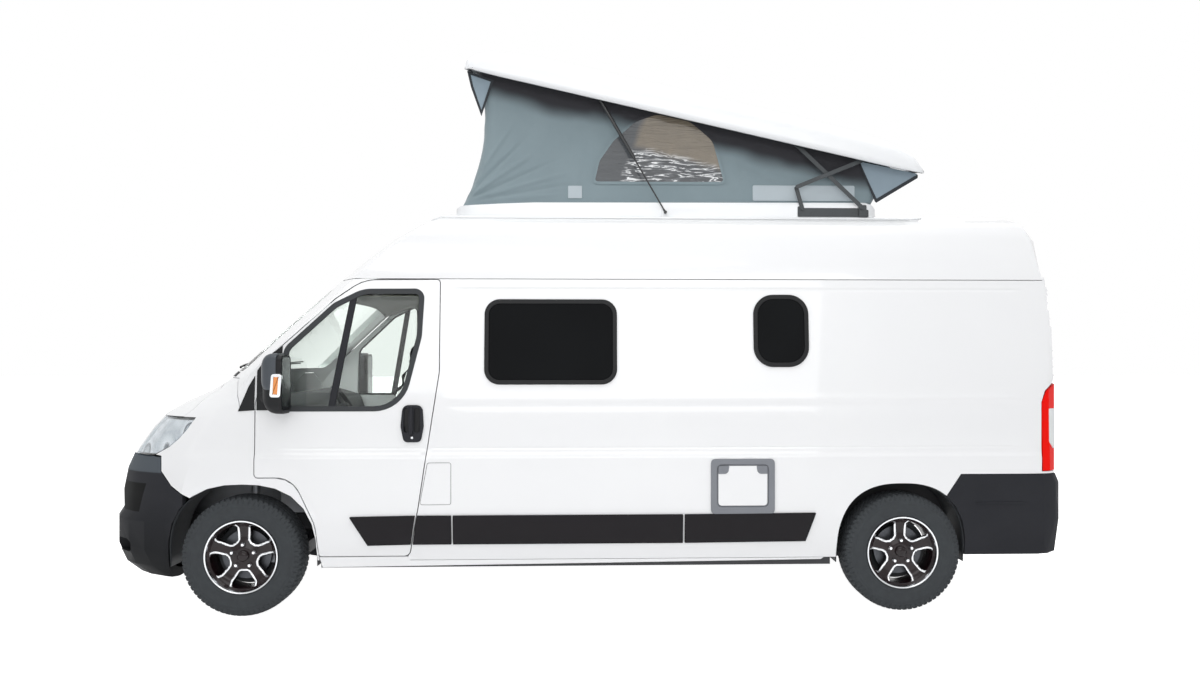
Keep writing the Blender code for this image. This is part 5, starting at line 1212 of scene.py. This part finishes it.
def makeFoil():
    # The window's layers as one skin: tan lining rolled up at the top, dark netting at the lower left, and between
    # them clear vinyl whose crumples run down to the rear, with thin white streaks painted into its colour as their
    # highlights
    material, tree, sockets, coords = newMaterial("clearVinylOverNet", "55585B", 0.30, **{
        "Coat Weight": 0.5, "Coat Roughness": 0.08, "Specular IOR Level": 0.2})
    drift = addNode(tree, "TexNoise", {"Scale": 1 / 0.12, "Detail": 3.0, "Vector": coords}, "Fac")
    turned = addNode(tree, "Mapping", {"Rotation": (0.0, 0.42, 0.0), "Scale": (5.0, 1.0, 30.0), "Vector": coords}, 0)
    crumple = addNode(tree, "TexNoise", {"Scale": 1.0, "Detail": 4.0, "Distortion": 2.2, "Vector": turned}, "Fac")
    # Painted highlights: the ramp's white bands stand for light caught on the crumples
    shown = paintRamp(addNode(tree, "ValToRGB", {0: crumple}), ("34373B", "3E4144"), (
        (0.44, "404347"), (0.53, "5E6266"), (0.575, "E8EAEC"), (0.60, "F4F5F6"), (0.63, "7C8084"), (0.72, "4C4F53")))
    tan = paintRamp(addNode(tree, "ValToRGB", {0: drift}), ("6B6358", "8A806F"), ())
    # Each layer begins beyond a wavy line across a direction
    for direction, low, high, layer in (((0.25, 0.0, 1.0), 3.000, 3.060, tan),
                                        ((-1.0, 0.0, 0.35), 0.680, 0.740, linearColour("45494D"))):
        along = addNode(tree, "VectorMath", {"operation": "DOT_PRODUCT", 0: coords, 1: direction}, "Value")
        waved = addNode(tree, "Math", {"operation": "MULTIPLY_ADD", 0: drift, 1: 0.05, 2: along}, 0)
        share = addNode(tree, "MapRange", {"interpolation_type": "SMOOTHSTEP", 0: waved, 1: low, 2: high}, 0)
        shown = addNode(tree, "Mix", {"data_type": "RGBA", 0: share, 6: shown, 7: layer}, 2, sockets["Base Color"])
    addNode(tree, "Bump", {"Strength": 0.6, "Distance": 0.02, "Height": crumple}, 0, sockets["Normal"])
    return material


foil = makeFoil()
# The rear gusset is sewn to the shell and rides with it: a triangle with a dark webbing along its lower edge
rearGusset = np.array([(1.896, 2.577), (2.164, 2.734), (2.168, 2.754), (1.794, 2.830)])
webbing = np.array([(1.890, 2.574), (1.900, 2.565), (2.170, 2.726), (2.172, 2.748), (2.146, 2.737), (1.903, 2.592),
                    (1.800, 2.812), (1.794, 2.812)])
frontGusset = np.array([(-0.722, 3.385), (-0.700, 3.290), (-0.636, 3.110), (-0.560, 3.330)])
# Each sewn piece: name, outline, holes, material, how far it stands off the cloth, thickness, body
sewn = (("canvasWindow", canvasWindow, [], foil, 0.0030, 0.002, "body"),
        ("canvasWindowHem", offsetLine(canvasWindow, 0.014), [offsetLine(canvasWindow, -0.004)], canvasCloth, 0.0045,
         0.003, "body"),
        ("canvasFlap", rectangle(1.10, 1.76, 2.575, 2.675, 0.01), [], paleCloth, 0.0035, 0.002, "body"),
        ("canvasPatch", rectangle(-0.085, 0.003, 2.585, 2.665, 0.004), [], paleCloth, 0.0035, 0.002, "body"),
        ("rearGusset", rearGusset, [], gussetCloth, 0.006, 0.003, "roof_shell"),
        ("rearGussetHem", webbing, [], darkCloth, 0.0075, 0.003, "roof_shell"),
        ("frontGusset", frontGusset, [], gussetCloth, 0.006, 0.003, "body"),
        ("frontGussetHem", offsetLine(frontGusset, 0.003), [offsetLine(frontGusset, -0.013)], darkCloth, 0.0075, 0.003,
         "body"))
canvasTrim, shellTrim = [], []
for sideName, side in bothSides:
    for part, kept, holes, material, out, thick, body in sewn:
        name = "%s_%s" % (part, sideName)
        mesh = flatPanel(name, [kept], holes, onCanvas(side, out), 0.012 if material == foil else 0.02, flip=side > 0)
        piece = finishPiece(name, mesh, material, body, slot="acrylic" if material == foil else None, sharp=80)
        (canvasTrim if body == "body" else shellTrim).append(addWall(piece, thick))

# The cloth and the gussets have their modifiers taken off and each gets a mesh of its own
for soft, axis, anchor in (([canvasPiece] + canvasTrim, (0, 0, 1), (0, 0, 2.50)),
                           (shellTrim, (0.579, 0, 0.815), (2.179, 0, 2.772))):
    for piece in soft:
        for modifier in list(piece.modifiers):
            piece.modifiers.remove(modifier)
        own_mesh(piece)
print("roof shell and canvas made")


# Struts and links, at the places in (x, z) of their pins, each in its own plane y

strut = {"top": (0.101, 3.231), "foot": (0.532, 2.490), "y": 0.787,
         "barrel": ((0.012, 0.006), (0.016, 0.0105), (0.020, 0.011), (0.455, 0.011), (0.462, 0.010), (0.470, 0.0065))}
links = {"width": 0.026, "beyond": 0.008, "thick": 0.006,
         "bars": (("roof_link_long", (1.801, 2.522), (1.331, 2.965), 0.772, True),
                  ("roof_link_upper", (1.842, 2.847), (1.373, 2.655), 0.784, False),
                  ("roof_link_short", (1.413, 2.517), (1.373, 2.655), 0.760, True)),
         "shellPins": (((1.842, 2.847), 0.791, 0.013), (strut["top"], 0.800, 0.013), ((1.331, 2.965), 0.779, 0.007)),
         "footPlate": ((1.385, 2.470, 0.004), (1.840, 2.470, 0.004), (1.840, 2.512, 0.006), (1.800, 2.524, 0.010),
                       (1.430, 2.524, 0.010), (1.385, 2.536, 0.006)), "screws": (1.475, 1.612, 1.750)}


def pin(x, z, side, y0, y1, radius, sides=16):
    return bar([(x, side * y0, z), (x, side * y1, z)], radius, sides)


for sideName, side in bothSides:
    top, foot = (np.array([x, side * strut["y"], z]) for x, z in (strut["top"], strut["foot"]))
    along = (foot - top) / np.linalg.norm(foot - top)
    cylinder, rod = "strut_cylinder_" + sideName, "strut_rod_" + sideName
    solidPiece("strutBarrel_" + sideName, bar([top + along * d for d, r in strut["barrel"]],
                                              [r for d, r in strut["barrel"]], 20), strutCoat, cylinder, 0.0008,
               replaced=[cylinder])
    solidPiece("strutEye_" + sideName, joinShapes([
        bar([top - (0, 0.010 * side, 0), top + (0, 0.012 * side, 0)], 0.009, 16),
        bar([top + along * 0.006, top + along * 0.018], 0.006, 12)]), bracketCoat, cylinder)
    solidPiece("strutRod_" + sideName, joinShapes([
        bar([top + along * 0.415, foot], 0.0048, 16), bar([foot - along * 0.020, foot - along * 0.006], 0.0065, 12),
        bar([foot - (0, 0.007 * side, 0), foot + (0, 0.010 * side, 0)], 0.010, 16)]), strutCoat, rod,
        slot="bright_metal", replaced=[rod])
    for name, start, end, y, screwed in links["bars"]:
        a, b = np.array(start), np.array(end)
        d = (b - a) / np.linalg.norm(b - a)
        n = np.array([-d[1], d[0]]) * links["width"] / 2
        more, face = d * links["beyond"], y + links["thick"]
        outline = roundedLine([(*p, 0.011) for p in (a - more - n, b + more - n, b + more + n, a - more + n)], 6)
        heads = [pin(*p, side, face, y + 0.0095, 0.008) for p in (a, b)] if screwed else []
        solidPiece("%s_bar_%s" % (name, sideName), joinShapes([slab(outline, side * y, side * face)] + heads),
                   bracketCoat, "%s_%s" % (name, sideName), 0.001, replaced=["%s_%s" % (name, sideName)])
    solidPiece("shellPins_" + sideName, joinShapes([pin(*p, side, reach, 0.826, r) for p, reach, r in
                                                    links["shellPins"]]), bracketCoat, "roof_shell")
    plate = slab(offsetLine(roundedLine(links["footPlate"], 4), 0.0015), side * 0.740, side * 0.7592)
    ear = slab(rectangle(1.7770, 1.8250, 2.4685, 2.5440, 0.004), side * 0.739, side * 0.7715)
    screws = [pin(x, 2.497, side, 0.757, 0.7610, 0.008, 14) for x in links["screws"]]
    solidPiece("linkFoot_" + sideName, joinShapes([plate, ear] + screws), bracketCoat, "body", 0.001)
    solidPiece("strutFoot_" + sideName, pin(*strut["foot"], side, 0.760, 0.776, 0.008, 14), chrome, "body")
print("struts and links made")


# Cab seats: crowned cushions with raised bolsters and sewn channels, on a plastic stand

def pillow(a, b, h, bolster, seams, channels, pull=0.035, count=46):
    # A crowned pad over X and Y from -1 to 1: half thickness
    # h ((1 - X^8)(1 - Y^8))^0.45 (0.84 + 0.16 (1 - X^2)(1 - Y^2)),
    # bolsters raised beyond |Y| = 0.6, sides drawn in between the corners, and a bell-shaped groove along each seam
    e = np.sin(np.linspace(-0.5, 0.5, count) * np.pi)
    x, y = np.meshgrid(e, e, indexing="ij")
    edge = np.clip((1 - np.abs(x) ** 8) * (1 - np.abs(y) ** 8), 0, 1) ** 0.45
    crown = 0.84 + 0.16 * (1 - x ** 2) * (1 - y ** 2)
    groove = sum(np.exp(-((np.abs(y) - c) / 0.035) ** 2) for c in seams) + sum(
        np.exp(-((x - c) / 0.030) ** 2) * (np.abs(y) < 0.62) for c in channels)
    top = h * edge * crown + (bolster * smoothStep(0.55, 0.85, np.abs(y)) - 0.010 * groove) * edge
    wide, long = b * (1 - pull * (1 - x ** 2)), a * (1 - pull * (1 - y ** 2))
    sheets = [np.stack([x * long, y * wide, z], -1).reshape(-1, 3) for z in (top, -h * edge * crown)]
    grid = gridFaces(count, count)
    return np.concatenate(sheets), np.concatenate([grid, grid[:, ::-1] + count * count]).tolist()


# Each pad: place in (x, z), half length, half width, half thickness, tilt in degrees, bolster, seams, channels
seats = {"y": 0.44, "pads": (("cushion", -1.222, 0.886, 0.258, 0.250, 0.072, -4.0, 0.022, (0.60,), (-0.35, 0.20)),
                             ("back", -0.930, 1.190, 0.330, 0.245, 0.056, -77.5, 0.020, (0.58,), (-0.45, 0.0, 0.45)),
                             ("head", -0.838, 1.615, 0.105, 0.125, 0.040, -79.0, 0.0, (0.88,), ())),
         "base": ((-1.420, 0.560, 0.01), (-0.985, 0.560, 0.01), (-0.985, 0.700, 0.02), (-1.040, 0.810, 0.03),
                  (-1.360, 0.820, 0.03), (-1.420, 0.700, 0.02))}
for label, across in (("left", -seats["y"]), ("right", seats["y"])):
    for part, x, z, a, b, h, tilt, bolster, seams, channels in seats["pads"]:
        points, faces = pillow(a, b, h, bolster, seams, channels)
        c, t = math.cos(math.radians(tilt)), math.sin(math.radians(tilt))
        placed = np.stack([x + points[:, 0] * c + points[:, 2] * t, across + points[:, 1],
                           z - points[:, 0] * t + points[:, 2] * c], 1)
        piece = solidPiece("seat_%s_%s" % (part, label), (placed, faces), seatCloth, "body", sharp=60,
                           replaced=["cab_seats"])
    base = slab(roundedLine(seats["base"], 5), across - 0.200, across + 0.200)
    posts = [bar([(-0.862, across + d, 1.490), (-0.846, across + d, 1.560)], 0.006, 12) for d in (-0.055, 0.055)]
    solidPiece("seatStand_" + label, joinShapes([base] + posts), deckPlastic, "body", 0.006, replaced=["cab_seats"])

# Steering wheel: a rim with a padded hub over three spokes, all in the cabin's plastic

steering = {"place": (-1.560, -0.420, 1.200), "axis": (0.240, 0, 0.120), "radius": 0.185, "spokes": (4, 176, -90),
            "spoke": ((0.05, -0.034), (0.178, -0.016), (0.178, 0.016), (0.05, 0.034))}
turn = np.linspace(0, 2 * np.pi, 72, endpoint=False)
ring = np.stack([steering["radius"] * np.cos(turn), np.zeros(72), steering["radius"] * np.sin(turn)], 1)
rimShape = bar(ring, 0.0165 + 0.0012 * np.cos(turn * 4), 14, close=True)
hub = turnedShape([(0.0, 0.040), (0.040, 0.038), (0.066, 0.028), (0.075, 0.008), (0.070, -0.020), (0.0, -0.024)], 40)
spokes = [slab(roundedLine([(math.cos(a) * r - math.sin(a) * w, math.sin(a) * r + math.cos(a) * w, 0.006)
                            for r, w in steering["spoke"]], 3), -0.006, 0.012)
          for a in (math.radians(angle) for angle in steering["spokes"])]
points, faces = joinShapes([rimShape, hub] + spokes)
tilt = Vector(steering["axis"]).to_track_quat("Y", "Z").to_matrix()
points = points @ np.array(tilt).T + np.array(steering["place"])
solidPiece("steeringWheel", (points, faces), deckPlastic, "body", 0.003)
dressCopy("dashboard", "dashboard_dressed", deckPlastic, "body", 0.006)

# The cloth lining of the cab's roof, seen through the door glass

lining = makeMesh("cabHeadliner", [(x, y, 2.012 - 0.06 * (y / 0.86) ** 4 - 0.35 * max(0.0, -1.36 - x))
                                   for x in np.linspace(-1.56, -0.86, 15) for y in np.linspace(-0.86, 0.86, 25)],
                  gridFaces(15, 25))
addWall(finishPiece("cabHeadliner", lining, headliner, "body"), 0.008)
print("cab made")


# Materials for the frame's own solids that stay in sight

for node, material in (("underbody", chassisCoat), ("front_subframe", chassisCoat), ("rear_axle", chassisCoat),
                       ("knuckle_left", castAlloy), ("knuckle_right", castAlloy), ("engine", castAlloy),
                       ("rear_glass_left", acrylic), ("rear_glass_right", acrylic)):
    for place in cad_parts[node].material_slots:
        place.material = material


# Floor, backdrop and light

studio = {"world": 0.56, "top": 275.0, "front": 222.0, "back": 110.0, "floorGlow": 0.96, "floorHalf": 60,
          "floorZ": -0.001}


def seenDirectly(tree):
    # 1 for rays from the camera, off a reflection or through glass, 0 for those that light the scene
    path = addNode(tree, "LightPath").outputs
    seen = addNode(tree, "Math", {"operation": "MAXIMUM", 0: path["Is Camera Ray"], 1: path["Is Glossy Ray"]}, 0)
    return addNode(tree, "Math", {"operation": "MAXIMUM", 0: seen, 1: path["Is Transmission Ray"]}, 0)


def makeFloor():
    # Pale studio paper that glows white to the eye only, so that no shadow shows, as in the photograph
    material, tree, sockets, coords = newMaterial("studioPaper", "E9E9EA", 0.9, **{"Emission Color": (1, 1, 1, 1)})
    grain = addNode(tree, "TexNoise", {"Scale": 1 / 0.02, "Detail": 2.0, "Vector": coords}, "Fac")
    addNode(tree, "Mix", {"data_type": "RGBA", 0: grain, 6: linearColour("E7E7E8"), 7: linearColour("EDEDEE")}, 2,
            sockets["Base Color"])
    addNode(tree, "Math", {"operation": "MULTIPLY", 0: seenDirectly(tree), 1: studio["floorGlow"]}, 0,
            sockets["Emission Strength"])
    return material


half = studio["floorHalf"]
floorMesh = makeMesh("floor", [(x * half, y * half, studio["floorZ"]) for x, y in ((-1, -1), (1, -1), (1, 1), (-1, 1))],
                     [[0, 1, 2, 3]])
floorMesh.materials.append(makeFloor())
floor = bpy.data.objects.new("floor", floorMesh)
bpy.context.scene.collection.objects.link(floor)

world = bpy.data.worlds.new("studio")
world.use_nodes = True
bpy.context.scene.world = world
tree = world.node_tree
tree.nodes.clear()
light, paper = (addNode(tree, "Background", {"Color": (1, 1, 1, 1), "Strength": power})
                for power in (studio["world"], 1.0))
both = addNode(tree, "MixShader", {0: seenDirectly(tree), 1: light.outputs[0], 2: paper.outputs[0]})
addNode(tree, "OutputWorld", {0: both.outputs[0]})


def areaLamp(name, place, aim, size, power):
    lamp = bpy.data.lights.new(name, "AREA")
    lamp.shape, lamp.size, lamp.size_y, lamp.energy = "RECTANGLE", size[0], size[1], power
    item = bpy.data.objects.new(name, lamp)
    item.location = place
    item.rotation_euler = (Vector(aim) - Vector(place)).to_track_quat("-Z", "Y").to_euler()
    bpy.context.scene.collection.objects.link(item)


areaLamp("softTop", (0.0, -2.0, 7.5), (0.0, 0.0, 1.5), (9.0, 5.0), studio["top"])
areaLamp("softFront", (-0.4, -9.5, 4.0), (0.0, 0.0, 1.3), (8.0, 4.0), studio["front"])
areaLamp("softBack", (3.0, 9.0, 5.0), (0.0, 0.0, 1.5), (7.0, 4.0), studio["back"])
bpy.context.scene.view_settings.view_transform = "Standard"
